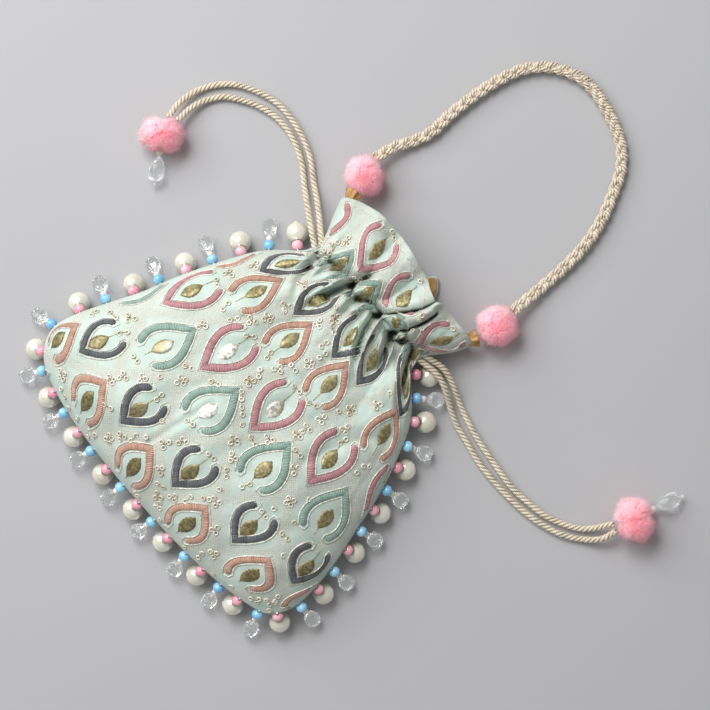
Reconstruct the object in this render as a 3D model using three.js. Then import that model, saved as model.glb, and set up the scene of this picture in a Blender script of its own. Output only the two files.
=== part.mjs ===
// A drawstring potli pouch of embroidered silk, lying on its back panel on the floor at z = 0.
// Millimetres, +Z up. +Y runs from the bottom seam to the mouth, +X along the bottom seam.
import * as THREE from "three";
import { mergeVertices } from "three/addons/utils/BufferGeometryUtils.js";

// Pouch: overall sizes
const bag_length = 190.5;
const belly_width = 192;
const belly_height = 40;
const seam_height = 16;
const bottom_edge = -65.5;

// Pouch: cloth, gathers and ruffled rim
const wall = 1.8;
const seam_inset = 3.4;
const panel_steps = 22;
const pleats_per_panel = 5.5;
const pleat_depth = 3;
const ruffles_per_panel = 4.5;
const ruffle_depth = 2.4;
const back_share = 0.6;
const rim_slant = 3.6;
const back_rim_lead = 2.5;

// Lining band inside the frill
const lining_wall = 1;
const lining_gap = 0.8;
const lining_drop = 1.6;

// Clearance between neighbouring pieces
const gap = 0.3;

// Sections from the bottom seam to the rim. along and lead are shares of bag_length: the middle of
// the row, and how far its ends run ahead of the middle. width and shift are shares of belly_width.
// rise is a share of the height over the seam, under and seam are shares of seam_height, and pleat
// and ruffle are shares of pleat_depth and ruffle_depth.
const section_columns = ["along", "lead", "width", "shift", "rise", "under", "seam", "pleat", "ruffle"];
const section_rows = [
  [0.000, 0.052, 0.885, 0.000, 0.00, 0.00, 1.00, 0.00, 0.00],
  [0.023, 0.049, 0.934, -0.004, 0.27, 0.45, 1.00, 0.00, 0.00],
  [0.065, 0.042, 0.981, -0.009, 0.55, 0.80, 1.00, 0.00, 0.00],
  [0.122, 0.031, 1.000, -0.011, 0.80, 1.05, 1.00, 0.05, 0.00],
  [0.197, 0.021, 0.979, -0.006, 0.95, 1.20, 1.00, 0.08, 0.00],
  [0.281, 0.016, 0.932, 0.003, 1.00, 1.25, 1.00, 0.10, 0.00],
  [0.375, 0.010, 0.870, 0.010, 0.97, 1.25, 1.00, 0.12, 0.00],
  [0.470, 0.005, 0.816, 0.013, 0.89, 1.25, 1.00, 0.16, 0.00],
  [0.554, 0.000, 0.758, 0.015, 0.80, 1.20, 0.98, 0.24, 0.00],
  [0.627, -0.005, 0.698, 0.015, 0.71, 1.15, 0.94, 0.36, 0.00],
  [0.690, -0.010, 0.641, 0.014, 0.66, 1.10, 0.90, 0.52, 0.00],
  [0.738, -0.013, 0.573, 0.010, 0.64, 1.05, 0.86, 0.70, 0.00],
  [0.774, -0.016, 0.505, 0.005, 0.60, 0.95, 0.82, 0.88, 0.00],
  [0.806, -0.018, 0.443, 0.002, 0.52, 0.84, 0.79, 1.00, 0.00],
  [0.829, -0.016, 0.422, 0.003, 0.44, 0.80, 0.78, 0.95, 0.05],
  [0.853, -0.016, 0.415, 0.005, 0.48, 0.79, 0.78, 0.80, 0.15],
  [0.885, -0.016, 0.443, 0.011, 0.56, 0.80, 0.76, 0.55, 0.35],
  [0.921, -0.018, 0.484, 0.014, 0.60, 0.80, 0.73, 0.45, 0.60],
  [0.958, -0.022, 0.516, 0.014, 0.61, 0.82, 0.70, 0.32, 0.80],
  [0.982, -0.026, 0.531, 0.013, 0.62, 0.83, 0.69, 0.26, 0.94],
  [1.000, -0.032, 0.536, 0.013, 0.62, 0.84, 0.68, 0.22, 1.00],
];
const neck_row = 13;
const lining_first_row = 17;

// Folds of the front panel, each from a place (a share of bag_length and a share across the panel)
// to another. width is a share of the panel's half width, depth a share of belly_height, and fade
// is 1 where the fold dies out towards its end.
const fold_columns = ["from_along", "from_step", "to_along", "to_step", "width", "depth", "fade"];
const fold_rows = [
  [0.86, -0.74, 0.44, -0.80, 0.10, 0.035, 1],
  [0.86, -0.44, 0.50, -0.56, 0.11, 0.045, 1],
  [0.86, -0.12, 0.56, -0.14, 0.09, 0.030, 1],
  [0.86, 0.18, 0.42, 0.28, 0.12, 0.050, 1],
  [0.86, 0.52, 0.48, 0.60, 0.11, 0.040, 1],
  [0.86, 0.80, 0.40, 0.82, 0.10, 0.035, 1],
  [0.82, -0.30, 1.00, -0.26, 0.12, 0.040, 0],
  [0.82, 0.22, 1.00, 0.46, 0.12, 0.100, 0],
  [0.82, 0.64, 1.00, 0.74, 0.10, 0.050, 0],
];

// Bead drops along the seams, in turn pearl and crystal. A run holds its seam, its number of drops
// and the shares of the seam's length where its first and last drops hang.
const drop_runs = [
  { seam: "left", count: 11, first: 0.985, last: 0.055 },
  { seam: "bottom", count: 15, first: 0.005, last: 0.985 },
  { seam: "right", count: 13, first: 0.045, last: 0.995 },
];
const drop_sides = 10;
const top_bead_radius = 3;
const pearl_radius = 5.75;
const joining_pearl_radius = 1.75;
const crystal_radius = 4.4;
const crystal_length = 12;
const steepest_drop = 66;
const drop_leans = [5, -7, -9, 6, -4, 2, -8, 5, -3];

// Tabs at the frill's corners, and the pompoms that the handle runs between
const tab_radius = 2.3;
const tab_spread = 24;
const pompom_spread = -7;
const handle_pompom_radius = 10.8;
const handle_pompom_squash = 0.96;
const handle_pompom_turn = 20;

// Drawstring ends
const end_pompom_radius = 11.8;
const pendant_bead_radius = 2;
const pendant_crystal_radius = 4.6;
const pendant_crystal_length = 14;
const pendant_tip_radius = 1.1;

// Cord routes, chosen by hand: x, y and z of the centre line
const handle_diameter = 6.8;
const handle_route = [
  [-52.8, 145, 9], [-50.9, 156.2, 5.6], [-46.8, 165.9, 3.6], [-43.8, 175.9, 3.7],
  [-44.1, 189.3, 3.7], [-43.5, 200.9, 3.7], [-41.9, 214.5, 3.7], [-39, 227.1, 3.7],
  [-34.2, 237.9, 3.7], [-25.9, 246.9, 3.7], [-14.2, 253.2, 3.7], [-3.8, 254.7, 3.7],
  [8.3, 253, 3.7], [19.2, 249.9, 3.7], [29.5, 244.6, 3.7], [37.5, 236.7, 3.7], [43.4, 226.2, 3.7],
  [49.7, 213, 3.7], [53.7, 198.8, 3.7], [55.3, 183.8, 3.7], [55.4, 168.6, 3.6], [55, 155.7, 5.8],
  [54.6, 145.2, 9],
];
const strand_diameter = 3.4;
const strand_routes = {
  drawstring_left_outer: [
    [-41.9, 97.3, 12.2], [-53.2, 105.6, 6.5], [-64.7, 112.8, 2], [-77.1, 120.8, 2],
    [-92.8, 125.8, 2], [-107.3, 126.6, 2], [-119.5, 123.2, 2], [-131.3, 116.2, 2],
    [-139.2, 105.8, 2], [-142.4, 96.2, 3], [-142.6, 87, 6], [-140.5, 78.8, 8.1],
  ],
  drawstring_left_inner: [
    [-42, 92.4, 12.8], [-55.6, 100.7, 7.5], [-67.3, 108.4, 2], [-77.1, 115.2, 2],
    [-88.5, 120, 2], [-101.5, 121.4, 2], [-114.2, 118.2, 2], [-122.6, 113.6, 2],
    [-130.4, 107.4, 2], [-135, 99.2, 2.4], [-136.8, 91.4, 4.8], [-136.2, 80.8, 8.4],
  ],
  drawstring_right_upper: [
    [44.6, 96.6, 12.4], [53.2, 98.6, 9.5], [63.4, 96.2, 6.5], [74.2, 92.2, 2], [86.4, 88.8, 2],
    [98.6, 86.6, 2], [110, 85.2, 2], [122.8, 84, 2], [134, 85, 2], [145.1, 87, 2],
    [156, 91.6, 2], [164.9, 98, 2.6], [172.4, 110.9, 7.7],
  ],
  drawstring_right_lower: [
    [43.2, 92.6, 13], [52.6, 94, 12.6], [61, 92.2, 10.2], [69.6, 88.2, 4], [78.5, 84.6, 2],
    [89, 82.4, 2], [102.7, 79.8, 2], [114.7, 79.2, 2], [126, 79.4, 2], [138, 80.6, 2],
    [148.3, 83, 2], [159.6, 87.4, 2], [168.6, 94, 2.6], [174.2, 101, 6], [176, 109.2, 8.8],
  ],
};

// Where each pair of strands ends: the pompom's middle, how flat it lies, how far it is pinched into
// two, its turn and its pendant's turn in degrees
const drawstring_ends = {
  left: { x: -135.9, y: 70.5, squash: 0.84, lobes: 0.3, turn: 42, pendant_turn: -52 },
  right: { x: 177.6, y: 120.3, squash: 0.96, lobes: 0, turn: 10, pendant_turn: 74 },
};

const group = new THREE.Group();

function material(colour, roughness, metalness = 0) {
  return new THREE.MeshStandardMaterial({ color: colour, roughness, metalness });
}

const silk = material("#b7e4cf", 0.55);
const gold_satin = material("#b08a52", 0.4);
const beige_cord = material("#d9b98a", 0.6);
const pink_yarn = material("#f29aa9", 0.9);
const pearl = material("#f1ece4", 0.25);
const crystal = material("#dfe9ec", 0.05);

function add(name, geometry, surface) {
  const mesh = new THREE.Mesh(geometry, surface);
  mesh.name = name;
  group.add(mesh);
  return mesh;
}

function tableRows(columns, rows) {
  return rows.map((row) => Object.fromEntries(columns.map((column, index) => [column, row[index]])));
}

const sections = tableRows(section_columns, section_rows);
const folds = tableRows(fold_columns, fold_rows);

function spread(step) {
  return 0.72 * step + 0.28 * Math.sin((step * Math.PI) / 2);
}

function pleatWave(step) {
  const fade = 1 - Math.abs(step) ** 8;
  const lobe = 2 * Math.abs(Math.sin((Math.PI / 2) * pleats_per_panel * (step + 1))) ** 0.8 - 1;
  return lobe * (0.8 + 0.2 * Math.sin(7.3 * step + 1)) * fade;
}

function ruffleWave(step, panel) {
  return Math.sin(Math.PI * ruffles_per_panel * (step + 1) + 0.9 * panel) * (1 - step ** 6);
}

function rowAhead(step, section, panel) {
  const lead = section.lead * bag_length * Math.abs(step) ** 2.4;
  const slant = -rim_slant * Math.sin(Math.PI * step);
  const rim = panel > 0 ? slant : back_rim_lead * (1 - step ** 4);
  return lead + rim * section.ruffle;
}

function foldDepth(step, along) {
  return folds.reduce((sum, fold) => {
    const share = (along - fold.from_along) / (fold.to_along - fold.from_along);
    if (share < 0 || share > 1) {
      return sum;
    }
    const middle = THREE.MathUtils.lerp(fold.from_step, fold.to_step, share);
    const start = THREE.MathUtils.smoothstep(share, 0, 0.15);
    const end = 1 - fold.fade * THREE.MathUtils.smoothstep(share, 0.3, 1);
    const across = Math.exp(-(((step - middle) / fold.width) ** 2));
    return sum + fold.depth * belly_height * start * end * across;
  }, 0);
}

// A point of the pouch for a share across (-1 left seam, 1 right seam), a section, a panel (1 front,
// -1 back), a depth below the outer face and an inset from the side seams
function pouchPoint(step, section, panel, depth, inset) {
  const seam_z = section.seam * seam_height;
  const half = (section.width * belly_width) / 2;
  const across = half * spread(step) - Math.sign(step) * inset * Math.abs(step) ** 6;
  const pleats = pleat_depth * section.pleat * pleatWave(step);
  const waves = ruffle_depth * section.ruffle * ruffleWave(step, panel);
  const dome = (1 - Math.abs(step) ** 2.6) ** 0.72;
  const bowl = (1 - Math.abs(step) ** 4) ** 0.7;
  const x = section.shift * belly_width + across;
  const y = bottom_edge + section.along * bag_length + rowAhead(step, section, panel);
  if (panel > 0) {
    const rise = section.rise * (belly_height - seam_height);
    const crease = foldDepth(step, section.along) * dome;
    const height = seam_z + Math.max(rise - depth, 0) * dome - crease;
    return new THREE.Vector3(x, y, height + pleats + waves);
  }
  const under = section.under * seam_z;
  const low = seam_z - Math.max(under - depth, 0) * bowl + back_share * (pleats + waves);
  return new THREE.Vector3(x, y, Math.max(low, depth));
}

function panelSteps() {
  return Array.from({ length: panel_steps + 1 }, (unused, index) => -1 + (2 * index) / panel_steps);
}

// A closed loop around the pouch at one row: front panel left to right, back panel right to left.
function pouchLoop(section, depth, inset) {
  const steps = panelSteps();
  const front = steps.slice(0, -1).map((step) => pouchPoint(step, section, 1, depth, inset));
  const back = steps.slice(1).reverse().map((step) => pouchPoint(step, section, -1, depth, inset));
  return [...front, ...back];
}

function addBand(triangles, lower, upper) {
  lower.forEach((corner, index) => {
    const next = (index + 1) % lower.length;
    triangles.push(corner, lower[next], upper[next], corner, upper[next], upper[index]);
  });
}

// Shared corners are joined, and faces that had no area are dropped.
function mergedGeometry(geometry) {
  geometry.deleteAttribute("normal");
  geometry.deleteAttribute("uv");
  const merged = mergeVertices(geometry, 1e-4);
  const kept = [];
  for (let face = 0; face < merged.index.count; face += 3) {
    const corners = [0, 1, 2].map((corner) => merged.index.getX(face + corner));
    if (new Set(corners).size === 3) {
      kept.push(...corners);
    }
  }
  merged.setIndex(kept);
  merged.computeVertexNormals();
  return merged;
}

// A wall of cloth from outer loops and inner loops that share their rows; an open first row is
// closed by a band as the rim is, and a folded first row closes itself.
function clothGeometry(outer, inner, open_below) {
  const triangles = [];
  for (let row = 0; row + 1 < outer.length; row += 1) {
    addBand(triangles, outer[row], outer[row + 1]);
    addBand(triangles, inner[row + 1], inner[row]);
  }
  addBand(triangles, outer.at(-1), inner.at(-1));
  if (open_below) {
    addBand(triangles, inner[0], outer[0]);
  }
  return mergedGeometry(new THREE.BufferGeometry().setFromPoints(triangles));
}

// The hollow's first row lies seam_inset inside the bottom seam, and the rows after it close up on
// the outer rows.
function hollowSection(section) {
  const pull = seam_inset / bag_length;
  const along = section.along + pull * (1 - section.along) ** 12;
  return { ...section, along };
}

function addPouch() {
  const outer = sections.map((section) => pouchLoop(section, 0, 0));
  const inner = sections.map((section) => pouchLoop(hollowSection(section), wall, seam_inset));
  add("pouch", clothGeometry(outer, inner, false), silk);
}

// The lining follows the frill's rows and ends lining_drop short of the rim.
function liningLoops(depth, inset) {
  const rows = sections.slice(lining_first_row);
  const loops = rows.map((section) => pouchLoop(section, depth, inset));
  const last_step = (rows.at(-1).along - rows.at(-2).along) * bag_length;
  const short = lining_drop / last_step;
  const below = loops.at(-2);
  loops.push(loops.pop().map((point, index) => point.lerp(below[index], short)));
  return loops;
}

function addLining() {
  const outer = liningLoops(wall + lining_gap, seam_inset + lining_gap);
  const thickness = lining_gap + lining_wall;
  const inner = liningLoops(wall + thickness, seam_inset + 1.5 * thickness);
  add("frill_lining", clothGeometry(outer, inner, true), gold_satin);
}

// Seams as polylines of the faceted pouch, from the bottom corner to the neck or left to right
function seamPoints(seam) {
  if (seam === "bottom") {
    return panelSteps().map((step) => pouchPoint(step, sections[0], 1, 0, 0));
  }
  const side = seam === "left" ? -1 : 1;
  return sections.slice(0, neck_row + 1).map((section) => pouchPoint(side, section, 1, 0, 0));
}

function pointAlong(points, share) {
  const lengths = points.slice(1).map((point, index) => point.distanceTo(points[index]));
  let left = share * lengths.reduce((sum, length) => sum + length, 0);
  let index = 0;
  while (index < lengths.length - 1 && left > lengths[index]) {
    left -= lengths[index];
    index += 1;
  }
  const place = points[index].clone().lerp(points[index + 1], left / lengths[index]);
  const direction = points[index + 1].clone().sub(points[index]).normalize();
  return { place, direction };
}

function pearlDropProfile() {
  const bead_end = 1.85 * top_bead_radius;
  const pearl_middle = bead_end + pearl_radius;
  return [
    [0, 0], [0.53 * top_bead_radius, 0.2 * top_bead_radius], [top_bead_radius, top_bead_radius],
    [0.42 * top_bead_radius, bead_end], [0.72 * pearl_radius, pearl_middle - 0.69 * pearl_radius],
    [pearl_radius, pearl_middle], [0.72 * pearl_radius, pearl_middle + 0.69 * pearl_radius],
    [0, pearl_middle + 1.12 * pearl_radius],
  ];
}

function crystalDropProfile() {
  const bead_end = 1.85 * top_bead_radius;
  const crystal_start = bead_end + 1.85 * joining_pearl_radius;
  return [
    [0, 0], [0.53 * top_bead_radius, 0.2 * top_bead_radius], [top_bead_radius, top_bead_radius],
    [0.4 * top_bead_radius, bead_end], [joining_pearl_radius, bead_end + joining_pearl_radius],
    [0.35 * crystal_radius, crystal_start], [crystal_radius, crystal_start + 0.62 * crystal_length],
    [0.5 * crystal_radius, crystal_start + 0.94 * crystal_length], [0, crystal_start + 1.05 * crystal_length],
  ];
}

// A turned body whose profile holds a radius and a distance from its top, hung from its top
function turnedGeometry(profile, sides) {
  const points = profile.map(([radius, along]) => new THREE.Vector2(radius, -along)).reverse();
  const geometry = new THREE.LatheGeometry(points, sides);
  return mergedGeometry(geometry);
}

// The steepest pitch that keeps every ring of the profile above the floor
function hangingPitch(profile, height) {
  const room = height - gap;
  const low_rings = profile.filter(([radius, along]) => Math.hypot(radius, along) > room);
  const pitches = low_rings.map(([radius, along]) => {
    return Math.asin(room / Math.hypot(radius, along)) - Math.atan2(radius, along);
  });
  return Math.min(THREE.MathUtils.degToRad(steepest_drop), ...pitches);
}

function hang(mesh, top, heading, pitch) {
  const flat = Math.cos(pitch);
  const along = new THREE.Vector3(heading.x * flat, heading.y * flat, -Math.sin(pitch));
  mesh.quaternion.setFromUnitVectors(new THREE.Vector3(0, -1, 0), along);
  mesh.position.copy(top);
}

function addDrops() {
  const kinds = [
    { name: "pearl_drop", profile: pearlDropProfile(), surface: pearl },
    { name: "crystal_drop", profile: crystalDropProfile(), surface: crystal },
  ];
  let number = 0;
  for (const run of drop_runs) {
    const points = seamPoints(run.seam);
    for (let index = 0; index < run.count; index += 1) {
      const share = run.first + ((run.last - run.first) * index) / (run.count - 1);
      const { place, direction } = pointAlong(points, share);
      const flat = run.seam === "left" ? -1 : 1;
      const outward = new THREE.Vector3(direction.y, -direction.x, 0).multiplyScalar(flat).normalize();
      const lean = THREE.MathUtils.degToRad(drop_leans[number % drop_leans.length]);
      const heading = outward.clone().applyAxisAngle(new THREE.Vector3(0, 0, 1), lean);
      const kind = kinds[number % kinds.length];
      const label = `${kind.name}_${String(number + 1).padStart(2, "0")}`;
      const mesh = add(label, turnedGeometry(kind.profile, drop_sides), kind.surface);
      hang(mesh, place.addScaledVector(outward, gap), heading, hangingPitch(kind.profile, place.z));
      number += 1;
    }
  }
}

// A fluffy ball in tufts. lobes pinches it across its length into two.
function pompomGeometry(radius, squash, lobes) {
  const merged = mergedGeometry(new THREE.IcosahedronGeometry(1, 2));
  const places = merged.attributes.position;
  const point = new THREE.Vector3();
  for (let index = 0; index < places.count; index += 1) {
    point.fromBufferAttribute(places, index);
    const turn = Math.atan2(point.y, point.x);
    const tuft = 0.95 + 0.05 * Math.sin(6 * turn + 4 * point.z) * Math.cos(5 * point.z);
    const waist = 1 - lobes * Math.exp(-18 * point.x * point.x) * point.y * point.y;
    point.multiplyScalar(radius * tuft * waist);
    point.y *= squash;
    point.z *= squash;
    places.setXYZ(index, point.x, point.y, point.z);
  }
  merged.computeVertexNormals();
  return merged;
}

function addPompom(name, centre, radius, squash, lobes, turn) {
  const pompom = add(name, pompomGeometry(radius, squash, lobes), pink_yarn);
  pompom.rotation.z = THREE.MathUtils.degToRad(turn);
  pompom.geometry.computeBoundingBox();
  pompom.position.set(centre.x, centre.y, gap - pompom.geometry.boundingBox.min.z);
  pompom.updateMatrixWorld();
  return pompom;
}

function ballProfile(radius, stretch) {
  const shares = [[0, 0], [0.62, 0.22], [1, 1], [0.62, 1.78], [0, 2]];
  return shares.map(([across, along]) => [across * radius, along * radius * stretch]);
}

// Each end of the handle sits in a pompom that a satin tab joins to the frill's corner.
function addHandleEnd(label, side) {
  const corner = pouchPoint(side, sections.at(-1), 1, 0, 0);
  const tab_turn = THREE.MathUtils.degToRad(tab_spread);
  const heading = new THREE.Vector3(side * Math.sin(tab_turn), Math.cos(tab_turn), 0);
  const ball = turnedGeometry(ballProfile(tab_radius, 1), drop_sides);
  const tab = add(`handle_tab_${label}`, ball, gold_satin);
  hang(tab, corner.clone().addScaledVector(heading, gap), heading, 0);
  const tab_end = corner.clone().addScaledVector(heading, gap + 2 * tab_radius);
  const pompom_turn = THREE.MathUtils.degToRad(pompom_spread);
  const onward = new THREE.Vector3(side * Math.sin(pompom_turn), Math.cos(pompom_turn), 0);
  const centre = tab_end.addScaledVector(onward, gap + handle_pompom_radius);
  const turn = side * handle_pompom_turn;
  addPompom(`handle_pompom_${label}`, centre, handle_pompom_radius, handle_pompom_squash, 0, turn);
}

function tubeGeometry(route, diameter, sides, spacing) {
  const points = route.map(([x, y, z]) => new THREE.Vector3(x, y, z));
  const path = new THREE.CatmullRomCurve3(points, false, "centripetal");
  const outline = Array.from({ length: sides }, (unused, index) => {
    const turn = (2 * Math.PI * index) / sides;
    return new THREE.Vector2((Math.cos(turn) * diameter) / 2, (Math.sin(turn) * diameter) / 2);
  });
  const steps = Math.round(path.getLength() / (spacing * diameter));
  const section = new THREE.Shape(outline);
  return new THREE.ExtrudeGeometry(section, { steps, extrudePath: path, curveSegments: 1 });
}

function addCords() {
  add("handle", tubeGeometry(handle_route, handle_diameter, 10, 2), beige_cord);
  for (const [name, route] of Object.entries(strand_routes)) {
    add(name, tubeGeometry(route, strand_diameter, 8, 2.5), beige_cord);
  }
}

function pendantProfile() {
  const bead_end = 1.85 * pendant_bead_radius;
  const tip = bead_end + pendant_crystal_length;
  return [
    [0, 0], [0.7 * pendant_bead_radius, 0.3 * pendant_bead_radius],
    [pendant_bead_radius, pendant_bead_radius], [0.4 * pendant_bead_radius, bead_end],
    [pendant_crystal_radius, bead_end + 0.62 * pendant_crystal_length],
    [0.75 * pendant_tip_radius, tip], [pendant_tip_radius, tip + pendant_tip_radius],
    [0, tip + 2 * pendant_tip_radius],
  ];
}

// A pompom at the joined ends of two strands, with a crystal pendant lying beyond it
function addDrawstringEnd(label) {
  const end = drawstring_ends[label];
  const name = `end_pompom_${label}`;
  const pompom = addPompom(name, end, end_pompom_radius, end.squash, end.lobes, end.turn);
  const angle = THREE.MathUtils.degToRad(end.pendant_turn);
  const heading = new THREE.Vector3(Math.cos(angle), Math.sin(angle), 0);
  const middle = new THREE.Vector3(end.x, end.y, pendant_crystal_radius + gap);
  const outside = middle.clone().addScaledVector(heading, 4 * end_pompom_radius);
  const ray = new THREE.Raycaster(outside, heading.clone().negate());
  const top = ray.intersectObject(pompom)[0].point.addScaledVector(heading, 2 * gap);
  const pendant = add(`end_pendant_${label}`, turnedGeometry(pendantProfile(), drop_sides), crystal);
  hang(pendant, top, heading, 0);
}

addPouch();
addLining();
addDrops();
addHandleEnd("left", -1);
addHandleEnd("right", 1);
addCords();
addDrawstringEnd("left");
addDrawstringEnd("right");

export default group;
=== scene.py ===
# A drawstring potli pouch of embroidered mint silk, lying on its back panel. Bead drops hang along its
# seams, a plaited handle joins two pompoms at the frill, and twisted drawstrings end in pompoms.
import math

import bmesh
import bpy
import numpy as np
from mathutils import Matrix, Vector


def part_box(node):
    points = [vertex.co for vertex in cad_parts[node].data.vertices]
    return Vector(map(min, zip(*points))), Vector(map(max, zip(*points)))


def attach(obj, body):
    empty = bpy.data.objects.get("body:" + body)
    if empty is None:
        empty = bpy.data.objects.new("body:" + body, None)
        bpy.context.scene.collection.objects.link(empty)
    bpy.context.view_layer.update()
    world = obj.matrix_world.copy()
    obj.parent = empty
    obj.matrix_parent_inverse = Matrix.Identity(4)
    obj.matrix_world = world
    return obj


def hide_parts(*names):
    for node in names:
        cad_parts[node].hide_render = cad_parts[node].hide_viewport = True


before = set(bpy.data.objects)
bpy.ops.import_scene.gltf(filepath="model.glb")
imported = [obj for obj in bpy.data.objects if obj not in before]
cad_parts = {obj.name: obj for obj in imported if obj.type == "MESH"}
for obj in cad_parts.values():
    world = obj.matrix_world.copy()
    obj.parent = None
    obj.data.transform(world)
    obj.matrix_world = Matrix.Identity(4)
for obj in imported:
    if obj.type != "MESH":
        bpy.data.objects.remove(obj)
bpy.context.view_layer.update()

MM = 0.001

# Picture: the photo's size, the real size of one of its pixels, and the view's middle, turn and height
PHOTO_PIXELS = 710
PIXEL_MM = 0.52
VIEW_CENTRE = (16.7, 68.9)
VIEW_TURN = 48.25
VIEW_HEIGHT = 12
CAMERA_DISTANCE = 1200

# Pouch, in millimetres, as the solids have it
BAG_LENGTH = 190.5
BELLY_WIDTH = 192
BELLY_HEIGHT = 40
SEAM_HEIGHT = 16
BOTTOM_EDGE = -65.5
WALL = 1.8
SEAM_INSET = 3.4
PLEATS_PER_PANEL = 5.5
PLEAT_DEPTH = 3
RUFFLES_PER_PANEL = 4.5
RUFFLE_DEPTH = 2.4
BACK_SHARE = 0.6
RIM_SLANT = 3.6
BACK_RIM_LEAD = 2.5
FRONT_CLEARANCE = 11
LINING_WALL = 1
LINING_GAP = 0.8
LINING_DROP = 1.6

# Cross-sections from the bottom seam to the rim, as shares of the sizes above
SECTION_COLUMNS = ("along", "lead", "width", "shift", "rise", "under", "seam", "pleat", "ruffle")
SECTION_ROWS = (
    (0.000, 0.052, 0.885, 0.000, 0.00, 0.00, 1.00, 0.00, 0.00),
    (0.023, 0.049, 0.934, -0.004, 0.27, 0.45, 1.00, 0.00, 0.00),
    (0.065, 0.042, 0.981, -0.009, 0.55, 0.80, 1.00, 0.00, 0.00),
    (0.122, 0.031, 1.000, -0.011, 0.80, 1.05, 1.00, 0.05, 0.00),
    (0.197, 0.021, 0.979, -0.006, 0.95, 1.20, 1.00, 0.08, 0.00),
    (0.281, 0.016, 0.932, 0.003, 1.00, 1.25, 1.00, 0.10, 0.00),
    (0.375, 0.010, 0.870, 0.010, 0.97, 1.25, 1.00, 0.12, 0.00),
    (0.470, 0.005, 0.816, 0.013, 0.89, 1.25, 1.00, 0.16, 0.00),
    (0.554, 0.000, 0.758, 0.015, 0.80, 1.20, 0.98, 0.24, 0.00),
    (0.627, -0.005, 0.698, 0.015, 0.71, 1.15, 0.94, 0.36, 0.00),
    (0.690, -0.010, 0.641, 0.014, 0.66, 1.10, 0.90, 0.52, 0.00),
    (0.738, -0.013, 0.573, 0.010, 0.64, 1.05, 0.86, 0.70, 0.00),
    (0.774, -0.016, 0.505, 0.005, 0.60, 0.95, 0.82, 0.88, 0.00),
    (0.806, -0.018, 0.443, 0.002, 0.52, 0.84, 0.79, 1.00, 0.00),
    (0.829, -0.016, 0.422, 0.003, 0.44, 0.80, 0.78, 0.95, 0.05),
    (0.853, -0.016, 0.415, 0.005, 0.48, 0.79, 0.78, 0.80, 0.15),
    (0.885, -0.016, 0.443, 0.011, 0.56, 0.80, 0.76, 0.55, 0.35),
    (0.921, -0.018, 0.484, 0.014, 0.60, 0.80, 0.73, 0.45, 0.60),
    (0.958, -0.022, 0.516, 0.014, 0.61, 0.82, 0.70, 0.32, 0.80),
    (0.982, -0.026, 0.531, 0.013, 0.62, 0.83, 0.69, 0.26, 0.94),
    (1.000, -0.032, 0.536, 0.013, 0.62, 0.84, 0.68, 0.22, 1.00),
)
LINING_FIRST_ROW = 17
PANEL_ROWS = 176
PANEL_COLUMNS = 172
HOLLOW_ROWS = 60
WELD_REACH = 0.004
# How far the back's cloth pattern starts from the front's, so that the two don't look alike
BACK_PATTERN_SHIFT = 400

# Creases of the front panel in millimetres, from one place to another. bend is how far the middle
# lies to the right of the straight line, fade is 1 where the crease dies out towards its end, and
# lean is how far the cloth on its left folds over it.
CREASE_COLUMNS = ("from_x", "from_y", "to_x", "to_y", "bend", "width", "depth", "fade", "lean")
CREASES = (
    (-34, 91, -24, 62, 3, 1.6, 5.6, 1.0, 1.0),
    (-13, 93, -20, 60, 1, 1.0, 9.5, 1.0, 3.0),
    (7, 92, 28, 60, 5, 1.0, 10.5, 1.0, 3.6),
    (19, 92, 33, 70, 1, 1.0, 10.0, 1.0, 3.2),
    (36, 90, 55, 66, 2, 1.3, 8.0, 0.7, 1.8),
    (-4, 91, -2, 70, 1, 1.3, 4.2, 1.0, 1.0),
    (-24, 93, -28, 74, 1, 1.3, 3.8, 1.0, 0.6),
    (6, 91, 22, 122, 3, 1.5, 10.5, 0.0, 4.4),
    (18, 91, 28, 114, 2, 1.2, 8.5, 0.4, 3.0),
    (28, 91, 25, 104, -1, 1.4, 5.4, 1.0, 1.2),
    (-30, 91, -33, 110, 0, 1.8, 4.2, 1.0, 0.8),
    (-12, 91, -7, 108, 0, 1.7, 5.4, 1.0, 1.4),
    (-20, -40, -13, -1, 0, 1.3, 0.9, 0.0, 0.0),
    (40, 10, 58, 52, -3, 3.0, 1.4, 0.0, 0.0),
    (-60, 22, -34, 40, 2, 3.4, 1.2, 0.0, 0.0),
)
# Puffs of the front panel in millimetres: the middle of each, its reach and its height
PUFF_COLUMNS = ("x", "y", "reach_x", "reach_y", "height")
PUFFS = (
    (-9, 110, 19, 12, 4.4),
    (36, 107, 10, 10, 4.0),
    (-38, 83, 6, 7, 3.0),
    (-25, 82, 6, 8, 3.2),
    (-8, 81, 7, 9, 3.6),
    (12, 80, 6, 9, 4.2),
    (27, 82, 5, 8, 3.6),
    (41, 80, 6, 7, 3.4),
    (17, 101, 4, 6, 2.4),
    (-27, 97, 5, 5, 3.0),
    (-16, 99, 5, 6, 2.6),
    (-3, 97, 6, 5, 2.6),
    (27, 97, 6, 5, 3.4),
    (20, 70, 6, 12, 1.8),
)
NECK_Y = 91.4

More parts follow.
